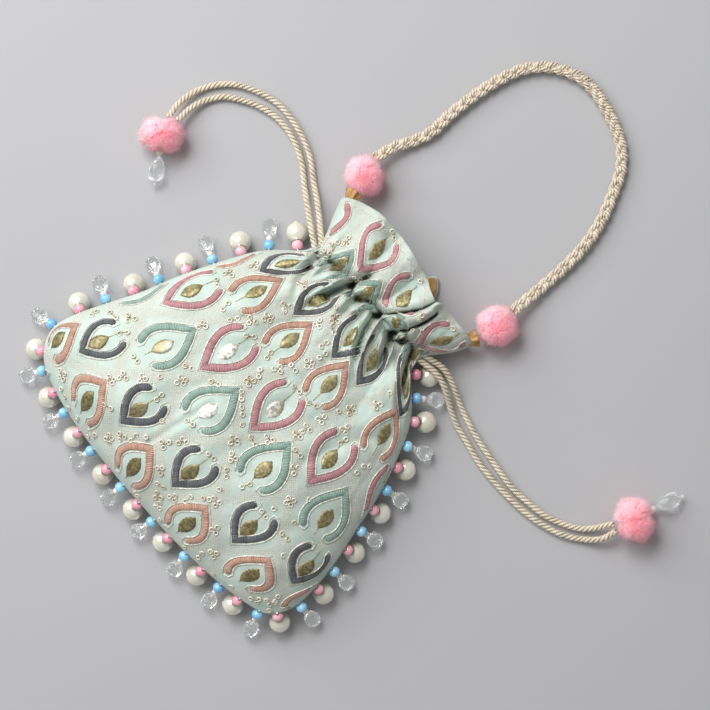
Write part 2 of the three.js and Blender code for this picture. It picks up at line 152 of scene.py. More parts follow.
# Embroidery rows: where the leaves lie along the bag, the thread, which way the tips point, the share
# across the panel of the middle leaf, the share from one to the next, and in millimetres how far each
# motif reaches from its leaf to its tip and to its open end, and half its width
EMBROIDERY_COLUMNS = ("along", "thread", "tip", "middle", "pitch", "to_tip", "to_open", "half_width")
EMBROIDERY_ROWS = (
    (0.058, "orange", 1, -0.157, 0.430, 13.3, 7.0, 9.4),
    (0.168, "grey", -1, 0.070, 0.435, 9.8, 12.0, 8.6),
    (0.312, "teal", 1, -0.150, 0.470, 17.6, 9.0, 9.8),
    (0.450, "pink", -1, 0.095, 0.480, 14.5, 13.4, 10.0),
    (0.598, "orange", 1, -0.205, 0.450, 13.0, 11.0, 10.6),
    (0.730, "grey", -1, 0.100, 0.430, 12.5, 9.0, 11.0),
    (0.838, "teal", 1, -0.100, 0.500, 8.0, 8.0, 11.0),
    (0.930, "pink", -1, 0.190, 0.560, 12.0, 9.0, 13.5),
)
# Rows with uneven spacing: each motif's share, and in millimetres how far it lies past its row
UNEVEN_ROWS = {
    0: ((-0.95, 0), (-0.587, 0), (-0.157, 0), (0.273, 0), (0.703, 0), (1.07, 0)),
    1: ((-0.80, 0), (-0.365, 0), (0.07, 0), (0.505, 0), (0.885, 0)),
    4: ((-1.08, 0), (-0.655, 0), (-0.205, 0), (0.23, 0), (0.80, -2)),
    5: ((-0.80, 0), (-0.35, 0), (0.11, 0), (0.40, 0), (0.86, 6)),
    7: ((-1.07, 0), (-0.40, 0), (0.18, -3.5), (0.82, -1)),
}
ROW_BOW = 0.055
# Half a motif, from its tip to its open end, as the corners of a curve, and its band's cross-section
PETAL = ((0.0, 1.0), (0.42, 0.62), (1.74, -0.2), (0.68, -1.0))
BAND_WIDTH = 3.6
BAND_STEP = 1.7
BAND_HEIGHT = 0.72
BAND_PROFILE = ((1, -0.4), (0.94, 0.4), (0.6, 0.85), (0, 1.0), (-0.6, 0.85), (-0.94, 0.4), (-1, -0.4))
OUTLINE_OFFSET = 2.35
OUTLINE_WIDTH = 0.7
LEAF_LENGTH = 12.5
LEAF_WIDTH = 7.6
LEAF_HEIGHT = 0.7
# Where the leaves' painted reflection lies, in millimetres: its middle, and the distances over which it
# fades out
PAINTED_GLINT_CENTRE = (-16, 4, 40)
PAINTED_GLINT_REACH = (34, 46)
SEQUIN_RADIUS = 1.55
SEQUIN_THICKNESS = 0.45
FLOWER_CLEARANCE = 3.7

# Cords, with routes in millimetres: x, y and z of the centre line
HANDLE_DIAMETER = 6.8
PLAIT_CORD_RADIUS = 1.6
PLAIT_PERIOD = 19
PLAIT_RISE = 0.95
PLAIT_CORD_TWIST = 5.6
HANDLE_ROUTE = (
    (-52.8, 145, 9), (-50.9, 156.2, 5.6), (-46.8, 165.9, 3.6), (-43.8, 175.9, 3.7),
    (-44.1, 189.3, 3.7), (-43.5, 200.9, 3.7), (-41.9, 214.5, 3.7), (-39, 227.1, 3.7),
    (-34.2, 237.9, 3.7), (-25.9, 246.9, 3.7), (-14.2, 253.2, 3.7), (-3.8, 254.7, 3.7),
    (8.3, 253, 3.7), (19.2, 249.9, 3.7), (29.5, 244.6, 3.7), (37.5, 236.7, 3.7), (43.4, 226.2, 3.7),
    (49.7, 213, 3.7), (53.7, 198.8, 3.7), (55.3, 183.8, 3.7), (55.4, 168.6, 3.6), (55, 155.7, 5.8),
    (54.6, 145.2, 9),
)
STRAND_DIAMETER = 3.4
STRAND_TWIST = 7.8
CASING_REACH = 6
STRAND_ROUTES = {
    "drawstring_left_outer": (
        (-41.9, 97.3, 12.2), (-53.2, 105.6, 6.5), (-64.7, 112.8, 2), (-77.1, 120.8, 2),
        (-92.8, 125.8, 2), (-107.3, 126.6, 2), (-119.5, 123.2, 2), (-131.3, 116.2, 2),
        (-139.2, 105.8, 2), (-142.4, 96.2, 3), (-142.6, 87, 6), (-140.5, 78.8, 8.1),
    ),
    "drawstring_left_inner": (
        (-42, 92.4, 12.8), (-55.6, 100.7, 7.5), (-67.3, 108.4, 2), (-77.1, 115.2, 2),
        (-88.5, 120, 2), (-101.5, 121.4, 2), (-114.2, 118.2, 2), (-122.6, 113.6, 2),
        (-130.4, 107.4, 2), (-135, 99.2, 2.4), (-136.8, 91.4, 4.8), (-136.2, 80.8, 8.4),
    ),
    "drawstring_right_upper": (
        (44.6, 96.6, 12.4), (53.2, 98.6, 9.5), (63.4, 96.2, 6.5), (74.2, 92.2, 2), (86.4, 88.8, 2),
        (98.6, 86.6, 2), (110, 85.2, 2), (122.8, 84, 2), (134, 85, 2), (145.1, 87, 2),
        (156, 91.6, 2), (164.9, 98, 2.6), (172.4, 110.9, 7.7),
    ),
    "drawstring_right_lower": (
        (43.2, 92.6, 13), (52.6, 94, 12.6), (61, 92.2, 10.2), (69.6, 88.2, 4), (78.5, 84.6, 2),
        (89, 82.4, 2), (102.7, 79.8, 2), (114.7, 79.2, 2), (126, 79.4, 2), (138, 80.6, 2),
        (148.3, 83, 2), (159.6, 87.4, 2), (168.6, 94, 2.6), (174.2, 101, 6), (176, 109.2, 8.8),
    ),
}

# Pompoms: the tufts and fibres of each, the share of it that its core takes up, and how high its
# fibres stay above the floor
TUFTS = 62
FIBRES = 11000
CORE_SHARE = 0.78
FLOOR_CLEARANCE = 0.2
# Each one's radius, how flat it lies, how far it is pinched into two, and its turn in degrees
POMPOMS = {
    "handle_pompom_left": {"radius": 10.8, "squash": 0.96, "lobes": 0, "turn": -20},
    "handle_pompom_right": {"radius": 10.8, "squash": 0.96, "lobes": 0, "turn": 20},
    "end_pompom_left": {"radius": 11.8, "squash": 0.86, "lobes": 0.26, "turn": 42},
    "end_pompom_right": {"radius": 11.8, "squash": 0.92, "lobes": 0.22, "turn": -30},
}

# Drops and pendants. A bead has its radius and how far its middle lies below the top of the drop. A
# cut crystal has its radius, how far it starts below the top, its length and where it is widest.
TOP_BEAD = (3, 2.85)
PEARL = (5.75, 11.3)
PEARL_END_BEAD = (0.85, 17.1)
PEARL_THREAD_LENGTH = 17.3
JOINING_PEARL = (1.75, 7.2)
CRYSTAL = (4.4, 8.8, 11.4, 0.62)
CRYSTAL_END_BEAD = (0.7, 20.6)
CRYSTAL_THREAD_LENGTH = 9.5
THREAD_OVERLAP = 1.2
PENDANT_PEARL = (2, 1.95)
PENDANT_CRYSTAL = (4.6, 3.8, 14, 0.6)
PENDANT_END_BEAD = (1.1, 18.8)


# Materials

def linear(code):
    """An sRGB hex colour as the linear values that a shader takes."""
    shares = [int(code[start:start + 2], 16) / 255 for start in (1, 3, 5)]
    return [s / 12.92 if s <= 0.04045 else ((s + 0.055) / 1.055) ** 2.4 for s in shares] + [1.0]


def add_node(finish, kind, inputs=None, **settings):
    """Adds a node with its settings. An input is a value, or the output that it is linked to."""
    node = finish.node_tree.nodes.new(kind)
    for name, value in settings.items():
        setattr(node, name, value)
    for socket, value in (inputs or {}).items():
        if isinstance(value, bpy.types.NodeSocket):
            finish.node_tree.links.new(value, node.inputs[socket])
        else:
            node.inputs[socket].default_value = value
    return node


def new_finish(name, **surface):
    """A material and its surface shader, with constants set on the shader's own sockets."""
    finish = bpy.data.materials.new(name)
    finish.use_nodes = True
    shader = finish.node_tree.nodes["Principled BSDF"]
    for socket, value in surface.items():
        shader.inputs[socket.replace("_", " ")].default_value = value
    return finish, shader


def mix(finish, share, first, second):
    """A colour between two colours, each a hex code or an output."""
    colours = [linear(c) if isinstance(c, str) else c for c in (first, second)]
    node = add_node(finish, "ShaderNodeMix", {0: share, 6: colours[0], 7: colours[1]}, data_type="RGBA")
    return node.outputs[2]


def sums(finish, operation, *values):
    """The result of one step of arithmetic."""
    inputs = dict(enumerate(values))
    return add_node(finish, "ShaderNodeMath", inputs, operation=operation).outputs[0]


def ramp(finish, value, low, high, start=0.0, end=1.0):
    """A smooth step from start to end as the value goes from low to high."""
    inputs = {0: value, 1: low, 2: high, 3: start, 4: end}
    node = add_node(finish, "ShaderNodeMapRange", inputs, interpolation_type="SMOOTHSTEP")
    return node.outputs[0]


def noise(finish, place, scale, detail=3.0, roughness=0.5):
    inputs = {"Vector": place, "Scale": scale, "Detail": detail, "Roughness": roughness}
    return add_node(finish, "ShaderNodeTexNoise", inputs).outputs["Fac"]


def stretched(finish, place, scale):
    """Pattern coordinates scaled along each axis."""
    return add_node(finish, "ShaderNodeMapping", {"Vector": place, "Scale": scale}).outputs[0]


def object_place(finish):
    return add_node(finish, "ShaderNodeTexCoord").outputs["Object"]


def cloth_map(finish, name):
    return add_node(finish, "ShaderNodeUVMap", uv_map=name).outputs[0]


def bump(finish, height, distance, normal=None):
    """A surface direction from a pattern that is so many millimetres high."""
    inputs = {"Height": height, "Distance": distance * MM}
    if normal is not None:
        inputs["Normal"] = normal
    return add_node(finish, "ShaderNodeBump", inputs).outputs[0]


def set_inputs(finish, shader, **links):
    for socket, output in links.items():
        finish.node_tree.links.new(output, shader.inputs[socket.replace("_", " ")])


def bands(finish, value, per_mm, phase=0.0):
    """A wave from 0 to 1 with so many crests to a millimetre."""
    turned = sums(finish, "MULTIPLY_ADD", value, 2 * math.pi * per_mm, phase)
    return sums(finish, "MULTIPLY_ADD", sums(finish, "SINE", turned), 0.5, 0.5)


def split(finish, place):
    return add_node(finish, "ShaderNodeSeparateXYZ", {0: place}).outputs


def make_silk():
    """Raw silk, plain woven: a soft low sheen, slubs across it, and a cream net between the motifs."""
    finish, shader = new_finish("raw_silk", Roughness=0.55, Sheen_Weight=0.15, Sheen_Roughness=0.4)
    cloth = cloth_map(finish, "cloth")
    across, along, _ = split(finish, cloth)
    lattice_u, lattice_v, _ = split(finish, cloth_map(finish, "lattice"))
    wander = noise(finish, cloth, 0.09, 3.0)
    half_row = sums(finish, "MULTIPLY", lattice_v, 0.5)
    shifted = sums(finish, "MULTIPLY_ADD", wander, 0.3, lattice_u)
    lines = []
    for operation in ("ADD", "SUBTRACT"):
        place = sums(finish, "FRACT", sums(finish, operation, shifted, half_row))
        lines.append(sums(finish, "ABSOLUTE", sums(finish, "SUBTRACT", place, 0.62)))
    nearest = sums(finish, "MINIMUM", *lines)
    net_area = ramp(finish, nearest, ramp(finish, along, 145, 165, 0.18, 0.36), 0.03)
    # Net of fine thread, 1.2 mm between crossings. The real one is under 1 mm, too fine to show.
    ragged = noise(finish, cloth, 0.6, 3.0, 0.7)
    threads = []
    for operation in ("ADD", "SUBTRACT"):
        place = sums(finish, "MULTIPLY_ADD", ragged, 3.5, sums(finish, operation, across, along))
        threads.append(ramp(finish, bands(finish, place, 0.6), 0.6, 0.95))
    net = sums(finish, "MAXIMUM", *threads)
    # Silk thread, drawn 0.7 mm apart. The real threads lie 0.25 mm apart, too fine to show.
    weave = sums(finish, "MULTIPLY", bands(finish, across, 1.4), bands(finish, along, 1.4))
    slub = noise(finish, stretched(finish, cloth, (0.05, 1.1, 1.0)), 1.0, 3.0)
    cloudy = noise(finish, cloth, 0.05, 3.0)
    ground = mix(finish, ramp(finish, cloudy, 0.35, 0.65), "#b7cbc0", "#c9d8cf")
    ground = mix(finish, ramp(finish, slub, 0.55, 0.75, 0.0, 0.5), ground, "#d9dfd6")
    cream = mix(finish, net, "#bdc8bb", "#dfdccf")
    colour = mix(finish, sums(finish, "MULTIPLY", net_area, 0.8), ground, cream)
    # Painted shade: deep in a fold, where cloth lights cloth, the colour turns a darker, fuller green
    fold = {"Distance": 5 * MM}
    painted_shade_openness = add_node(finish, "ShaderNodeAmbientOcclusion", fold, samples=8, only_local=True)
    colour = mix(finish, ramp(finish, painted_shade_openness.outputs["AO"], 0.15, 0.62), "#5d6e65", colour)
    crumple = noise(finish, cloth, 0.16, 4.0)
    normal = bump(finish, crumple, 0.5)
    normal = bump(finish, sums(finish, "MULTIPLY", net, net_area), 0.12, normal=normal)
    normal = bump(finish, weave, 0.05, normal=normal)
    set_inputs(finish, shader, Base_Color=colour, Normal=normal)
    return finish


def make_satin_stitch(name, dark, light):
    """Rayon floss laid side by side in satin stitch: threads across the band catch the light."""
    finish, shader = new_finish(name, Roughness=0.36, Anisotropic=0.5, Sheen_Weight=0.15)
    place = cloth_map(finish, "thread")
    along, across, _ = split(finish, place)
    uneven = noise(finish, stretched(finish, place, (0.35, 0.2, 1.0)), 1.0, 2.0)
    # Stitches, drawn 0.8 mm apart. The real threads lie 0.3 mm apart, too fine to show.
    stitches = bands(finish, sums(finish, "MULTIPLY_ADD", uneven, 0.5, along), 1.25)
    # Painted light and shade: the crown of the padded band lighter, its edges darker
    painted_facing_light = bands(finish, across, 1.0, -1.13)
    shade = sums(finish, "MULTIPLY_ADD", stitches, 0.4, sums(finish, "MULTIPLY", uneven, 0.8))
    shade = sums(finish, "MULTIPLY_ADD", painted_facing_light, 0.2, shade)
    colour = mix(finish, ramp(finish, shade, 0.35, 1.0), dark, light)
    normal = bump(finish, stitches, 0.34)
    tangent = add_node(finish, "ShaderNodeTangent", direction_type="UV_MAP", uv_map="thread").outputs[0]
    set_inputs(finish, shader, Base_Color=colour, Normal=normal, Tangent=tangent)
    return finish


def mottled(name, scale, ends, dark, light, detail=1.0, bumps=0.0, **surface):
    """A finish whose colour wanders between two as a noise of this scale goes from end to end."""
    finish, shader = new_finish(name, **surface)
    tone = noise(finish, object_place(finish), scale, detail)
    set_inputs(finish, shader, Base_Color=mix(finish, ramp(finish, tone, *ends), dark, light))
    if bumps:
        set_inputs(finish, shader, Normal=bump(finish, tone, bumps))
    return finish


def make_outline_thread():
    """Pale silver lurex cord couched round each motif: fine, with a dry glint."""
    return mottled("lurex_cord", 900.0, (0.4, 0.6), "#cdc6b8", "#f8f3ea", 2.0,
                   Roughness=0.4, Metallic=0.25)


def make_gold_leaf():
    """Leaves of gold metal thread and glitter, olive gold with flecks. Painted light makes them paler
    further up the bag and darker towards the bottom seam, and a painted reflection makes them silvery in
    the middle of the front."""
    finish, shader = new_finish("gold_metal_thread", Roughness=0.42, Metallic=0.35)
    place = object_place(finish)
    # Flecks, drawn 1.2 mm across. The real ones are under 0.5 mm, too fine to show.
    flecks = add_node(finish, "ShaderNodeTexVoronoi", {"Vector": place, "Scale": 800.0})
    tone = split(finish, flecks.outputs["Color"])[0]
    fleck = ramp(finish, tone, 0.1, 0.9)
    # Painted light: a lit and a shaded copy of the flecked gold, paler further up the bag
    painted_shaded_gold, painted_lit_gold = mix(finish, fleck, "#6b613f", "#91875d"), mix(finish, fleck, "#7c7149", "#aaa075")
    colour = mix(finish, ramp(finish, split(finish, place)[1], -40 * MM, 0.0), painted_shaded_gold, painted_lit_gold)
    # Painted reflection: silvery flecks round a place in the middle of the front
    middle = {0: place, 1: [coordinate * MM for coordinate in PAINTED_GLINT_CENTRE]}
    away = add_node(finish, "ShaderNodeVectorMath", middle, operation="DISTANCE").outputs["Value"]
    ragged = sums(finish, "MULTIPLY_ADD", tone, 12 * MM, away)
    glint = ramp(finish, ragged, PAINTED_GLINT_REACH[0] * MM, PAINTED_GLINT_REACH[1] * MM, 1.0, 0.0)
    silver = mix(finish, ramp(finish, tone, 0.15, 0.6), "#b4b0a4", "#fffdf8")
    colour = mix(finish, glint, colour, silver)
    set_inputs(finish, shader, Base_Color=colour, Normal=bump(finish, tone, 0.1))
    return finish


def make_gold_wire():
    """Fine gilt wire thread: a warm metal glint, broken by its twist."""
    return mottled("gilt_wire", 1200.0, (0.4, 0.6), "#8f7c4a", "#d8c794", 2.0,
                   Roughness=0.35, Metallic=0.8)


def make_sequin():
    """Pearly clear sequins with a champagne back: bright rims with soft coloured glints."""
    return mottled("champagne_sequin", 160.0, (0.4, 0.6), "#e8dcc2", "#fbf5ea",
                   Roughness=0.25, Metallic=0.15, Coat_Weight=0.6)


def make_cord_thread(name, dark, light):
    """Beige and gold rayon cord: shiny threads laid along each ply, with painted shade where plies meet.
    """
    finish, shader = new_finish(name, Roughness=0.38, Sheen_Weight=0.2)
    along, around, _ = split(finish, cloth_map(finish, "thread"))
    # Threads, drawn 0.9 mm apart along a ply. The real ones lie under 0.3 mm apart, too fine to show.
    slant = sums(finish, "MULTIPLY_ADD", along, 1 / 0.9, sums(finish, "MULTIPLY", around, 3.0))
    threads = bands(finish, slant, 1.0)
    # Painted shade: each ply darker on its side towards the rope's core, lighter on its outer side
    painted_facing_light = bands(finish, around, 1.0, math.pi / 2)
    tone = noise(finish, object_place(finish), 240.0, 2.0)
    shade = sums(finish, "MULTIPLY_ADD", threads, 0.25, sums(finish, "MULTIPLY", tone, 0.5))
    shade = sums(finish, "MULTIPLY_ADD", painted_facing_light, 0.5, shade)
    colour = mix(finish, ramp(finish, shade, 0.35, 0.95), dark, light)
    set_inputs(finish, shader, Base_Color=colour, Normal=bump(finish, threads, 0.12))
    return finish


def make_yarn():
    """Cut acrylic yarn: matt and soft, with painted shade that makes it deep pink at the fibres' roots and
    between the tufts, paler towards the tips. A faint glow stands for the light that scatters through the
    fibres."""
    finish, shader = new_finish("acrylic_yarn", Roughness=0.8, Sheen_Weight=0.5, Sheen_Roughness=0.5,
                                Sheen_Tint=linear("#ffd6dc"), Emission_Color=linear("#ffa6b4"),
                                Emission_Strength=0.2)
    _, outward, _ = split(finish, cloth_map(finish, "thread"))
    tone = noise(finish, object_place(finish), 180.0, 2.0)
    # Painted shade: deeper pink at the roots and in the core between the tufts, paler towards the fibre
    # tips
    tips = sums(finish, "MULTIPLY_ADD", tone, 0.5, sums(finish, "SUBTRACT", outward, 0.25))
    colour = mix(finish, ramp(finish, tips, 0.1, 1.0), "#ff99ab", "#ffe0e6")
    set_inputs(finish, shader, Base_Color=colour)
    return finish


def make_lining_satin():
    """Polyester satin, gold brown: smooth, with a painted soft highlight along its folds."""
    finish, shader = new_finish("polyester_satin", Roughness=0.35, Sheen_Weight=0.2)
    place = object_place(finish)
    folds = noise(finish, stretched(finish, place, (220.0, 60.0, 60.0)), 1.0, 2.0)
    # Painted highlight: paler gold along the streaks of noise that the bump raises as folds
    colour = mix(finish, ramp(finish, folds, 0.3, 0.7), "#8a6434", "#c99a58")
    # Satin floats, drawn 0.6 mm apart. The real ones are under 0.2 mm, too fine to show.
    floats = bands(finish, split(finish, place)[0], 1.6 / MM)
    normal = bump(finish, floats, 0.04, normal=bump(finish, folds, 0.3))
    set_inputs(finish, shader, Base_Color=colour, Normal=normal)
    return finish


def make_pearl():
    """Plastic pearl with a lacquered nacre coat: creamy, with a sharp small highlight."""
    return mottled("lacquered_pearl", 70.0, (0.35, 0.65), "#f0ead6", "#fbf8ea", bumps=0.03,
                   Roughness=0.15, Metallic=0.3, Coat_Weight=1.0, Coat_Roughness=0.05,
                   Subsurface_Weight=0.15, Subsurface_Radius=(0.002, 0.0015, 0.001), Subsurface_Scale=1.0)


def make_bead(name, dark, light):
    """Opaque pressed glass bead: one clear colour under a gloss, a little uneven."""
    return mottled(name, 120.0, (0.3, 0.7), dark, light,
                   Roughness=0.16, Coat_Weight=0.5, Coat_Roughness=0.05)


def make_crystal():
    """Cut clear glass: facets that flash white and grey. A faint glow stands for the light that its
    facets gather."""
    return mottled("cut_glass", 40.0, (0.3, 0.7), "#f6fafa", "#ffffff",
                   Roughness=0.04, IOR=1.5, Transmission_Weight=1.0, Alpha=0.85, Coat_Weight=0.6,
                   Emission_Color=linear("#eef2f0"), Emission_Strength=0.08)


def make_floor_finish():
    """Painted board: pale grey, matt and even."""
    finish, shader = new_finish("painted_board", Roughness=0.8)
    tone = noise(finish, object_place(finish), 6.0, 2.0)
    set_inputs(finish, shader, Base_Color=mix(finish, tone, "#b2b2b4", "#b7b7b9"))
    return finish


# Meshes

class Shape:
    """The points, faces and maps of one piece as it is built up, in millimetres."""

    def __init__(self):
        self.points = []
        self.faces = []
        self.maps = {}
        self.count = 0

    def add(self, points, faces, **maps):
        """Adds points and faces. A map gives two numbers to each point, or to each face's corners."""
        points = np.asarray(points, float).reshape(-1, 3)
        faces = np.asarray(faces, int)
        self.points.append(points)
        self.faces.extend((faces + self.count).tolist())
        for name, values in maps.items():
            corners = values if values.ndim == 3 else values[faces]
            self.maps.setdefault(name, []).append(corners.reshape(-1, 2))
        self.start = self.count
        self.count += len(points)

    def close(self, loops):
        """Closes the last added points' open loops, each with one face."""
        for loop in loops:
            self.faces.append([corner + self.start for corner in loop])
            for corners in self.maps.values():
                corners.append(np.zeros((len(loop), 2)))


def settle(piece, replaces=()):
    """Puts a finished piece on the body, and hides the nodes that it stands for."""
    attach(piece, "root")
    if replaces:
        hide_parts(*replaces)
    return piece


def add_piece(name, shape, finish, replaces=()):
    mesh = bpy.data.meshes.new(name)
    mesh.from_pydata((np.vstack(shape.points) * MM).tolist(), [], shape.faces)
    mesh.polygons.foreach_set("use_smooth", [True] * len(mesh.polygons))
    for map_name, corners in shape.maps.items():
        layer = mesh.uv_layers.new(name=map_name)
        layer.data.foreach_set("uv", np.concatenate(corners).ravel())
    mesh.materials.append(finish)
    piece = bpy.data.objects.new(name, mesh)
    bpy.context.scene.collection.objects.link(piece)
    return settle(piece, replaces)


def unit(vectors):
    return vectors / np.maximum(np.linalg.norm(vectors, axis=-1, keepdims=True), 1e-9)


def smoothstep(values, low, high):
    share = np.clip((values - low) / (high - low), 0, 1)
    return share * share * (3 - 2 * share)


def grid_faces(rows, columns, wrap=False):
    """Four-cornered faces over a grid of points, joined round if it wraps."""
    row = np.arange(rows - 1)[:, None]
    column = np.arange(columns if wrap else columns - 1)[None]
    onward = (column + 1) % columns
    corners = (row * columns + column, row * columns + onward,
               (row + 1) * columns + onward, (row + 1) * columns + column)
    return np.stack(np.broadcast_arrays(*corners), -1).reshape(-1, 4)


def bridge(first, second, count):
    """Four-cornered faces between two rings of points, which start at these numbers."""
    onward = [(corner + 1) % count for corner in range(count)]
    return [[first + c, first + onward[c], second + onward[c], second + c] for c in range(count)]


def ring_map(along, sides):
    """For each corner of a tube's faces, the length along it and the share of the way round."""
    row = np.arange(len(along) - 1)[:, None, None] + np.array([0, 0, 1, 1])
    column = np.arange(sides)[None, :, None] + np.array([0, 1, 1, 0])
    row, column = np.broadcast_arrays(row, column)
    return np.stack([along[row], column / sides], -1).reshape(-1, 4, 2)


def add_tube(shape, line, out, across, radius, sides, along):
    """A closed tube round a line. out, across and the line's own direction are a right-handed set."""
    turns = 2 * math.pi * np.arange(sides) / sides
    reach = np.broadcast_to(radius, (len(line),))[:, None, None]
    around = np.cos(turns)[None, :, None] * out[:, None] + np.sin(turns)[None, :, None] * across[:, None]
    rings = line[:, None] + reach * around
    faces = grid_faces(len(line), sides, wrap=True)
    shape.add(rings, faces, thread=ring_map(along, sides))
    last = len(line) * sides
    shape.close([list(range(sides - 1, -1, -1)), list(range(last - sides, last))])


def lengths_along(line):
    return np.concatenate([[0], np.cumsum(np.linalg.norm(np.diff(line, axis=0), axis=1))])


def evenly(line, spacing):
    lengths = lengths_along(line)
    even = np.linspace(0, lengths[-1], int(round(lengths[-1] / spacing)) + 1)
    return np.column_stack([np.interp(even, lengths, line[:, axis]) for axis in range(line.shape[1])])


def smooth_route(route, spacing):
    """Evenly spaced points on the smooth curve through a route, of the centripetal kind."""
    route = np.array(route, float)
    padded = np.vstack([2 * route[0] - route[1], route, 2 * route[-1] - route[-2]])
    stretches = []
    for corners in zip(padded, padded[1:], padded[2:], padded[3:]):
        knots = np.concatenate([[0], np.cumsum(np.linalg.norm(np.diff(corners, axis=0), axis=1) ** 0.5)])
        places = np.linspace(knots[1], knots[2], 24, endpoint=False)[:, None]
        level = list(corners)
        for spans in (((0, 1), (1, 2), (2, 3)), ((0, 2), (1, 3)), ((1, 2),)):
            level = [level[k] + (level[k + 1] - level[k]) * (places - knots[a]) / (knots[b] - knots[a])
                     for k, (a, b) in enumerate(spans)]
        stretches.append(level[0])
    return evenly(np.vstack([*stretches, route[-1:]]), spacing)


def directions(line):
    """The direction of a line, a level direction to its right and the one upwards."""
    forward = unit(np.gradient(line, axis=0))
    side = unit(np.cross(forward, [0.0, 0.0, 1.0]))
    return forward, side, np.cross(side, forward)


# Cords

def add_rope(shape, line, radius, plies, pitch, sides):
    """Plies twisted round a line, which together are as thick as the rope."""
    ply_radius = radius / (1 + 1 / math.sin(math.pi / plies))
    lengths = lengths_along(line)
    _, side, up = directions(line)
    for ply in range(plies):
        turn = (2 * math.pi * (lengths / pitch + ply / plies))[:, None]
        radial = np.cos(turn) * side + np.sin(turn) * up
        centre = line + (radius - ply_radius) * radial
        forward = unit(np.gradient(centre, axis=0))
        out = unit(radial - forward * (radial * forward).sum(1, keepdims=True))
        add_tube(shape, centre, out, np.cross(forward, out), 1.04 * ply_radius, sides, lengths)


def add_handle(finish):
    """Three twisted cords plaited flat."""
    line = smooth_route(HANDLE_ROUTE, 0.45)
    lengths = lengths_along(line)
    _, side, up = directions(line)
    swing = HANDLE_DIAMETER / 2 - PLAIT_CORD_RADIUS
    shape = Shape()
    for strand in range(3):
        turn = (2 * math.pi * (lengths / PLAIT_PERIOD + strand / 3))[:, None]
        centre = line + swing * np.sin(turn) * side + PLAIT_RISE * np.sin(2 * turn) * up
        add_rope(shape, centre, PLAIT_CORD_RADIUS, 3, PLAIT_CORD_TWIST, 6)
    handle = add_piece("plaited_handle", shape, finish, ["handle"])


def add_strands(finish):
    for name, route in STRAND_ROUTES.items():
        start, onward = (np.array(point) for point in route[:2])
        line = smooth_route((start - CASING_REACH * unit(onward - start), *route), 0.6)
        shape = Shape()
        add_rope(shape, line, STRAND_DIAMETER / 2, 3, STRAND_TWIST, 8)
        strand = add_piece(name + "_twisted", shape, finish, [name])


# Pompoms

def pompom_reach(ways, lobes):
    """How far the ball reaches in each direction, as a share of its radius."""
    turn = np.arctan2(ways[:, 1], ways[:, 0])
    tuft = 0.95 + 0.05 * np.sin(6 * turn + 4 * ways[:, 2]) * np.cos(5 * ways[:, 2])
    pinch = ways[:, 1] ** 2 + 0.45 * ways[:, 2] ** 2
    waist = 1 - lobes * np.exp(-18 * ways[:, 0] ** 2) * pinch
    return tuft * waist


def ball_ways(count):
    """Directions spread evenly over a ball."""
    index = np.arange(count) + 0.5
    height = 1 - 2 * index / count
    turn = math.pi * (1 + 5 ** 0.5) * index
    flat = np.sqrt(1 - height ** 2)
    return np.column_stack([flat * np.cos(turn), flat * np.sin(turn), height])


def whole_ball():
    """Points and faces of a ball with a radius of 1."""
    bpy.ops.object.select_all(action="DESELECT")
    bpy.ops.mesh.primitive_ico_sphere_add(subdivisions=5, radius=1)
    ball = bpy.context.object
    points = unit(np.array([v.co for v in ball.data.vertices]))
    faces = np.array([list(p.vertices) for p in ball.data.polygons])
    bpy.data.objects.remove(ball)
    return points, faces


def add_fibres(shape, placed, tufts, tuft_lengths, rng):
    """Pointed three-sided fibres that lean towards the middle of their tuft."""
    roots = unit(ball_ways(FIBRES) + rng.normal(0, 0.012, (FIBRES, 3)))
    nearest = np.argmax(roots @ tufts.T, axis=1)
    leaning = unit(roots * 0.8 + tufts[nearest] * 0.2 + rng.normal(0, 0.06, (FIBRES, 3)))
    ends = placed(leaning, rng.normal(1.03, 0.08, FIBRES) * tuft_lengths[nearest])
    ends[:, 2] = np.maximum(ends[:, 2], FLOOR_CLEARANCE)
    starts = placed(roots, np.full(FIBRES, CORE_SHARE - 0.04))
    forward = unit(ends - starts)
    side = unit(np.cross(forward, [0.31, 0.53, 0.79]))
    across = np.cross(forward, side)
    girth = rng.uniform(0.16, 0.26, (FIBRES, 1))
    corners = [starts + girth * (math.cos(a) * side + math.sin(a) * across)
               for a in (0, 2 * math.pi / 3, 4 * math.pi / 3)]
    points = np.stack([*corners, ends], 1).reshape(-1, 3)
    first = 4 * np.arange(FIBRES)[:, None]
    sides = np.concatenate([first + np.array(f) for f in ((0, 1, 3), (1, 2, 3), (2, 0, 3), (2, 1, 0))])
    # Each fibre's second map number runs from 0.1 at its root to 1 at its tip, for the yarn's painted
    # shade
    shape.add(points, sides, thread=np.tile([[0, 0.1], [0, 0.1], [0, 0.1], [0, 1.0]], (FIBRES, 1)))


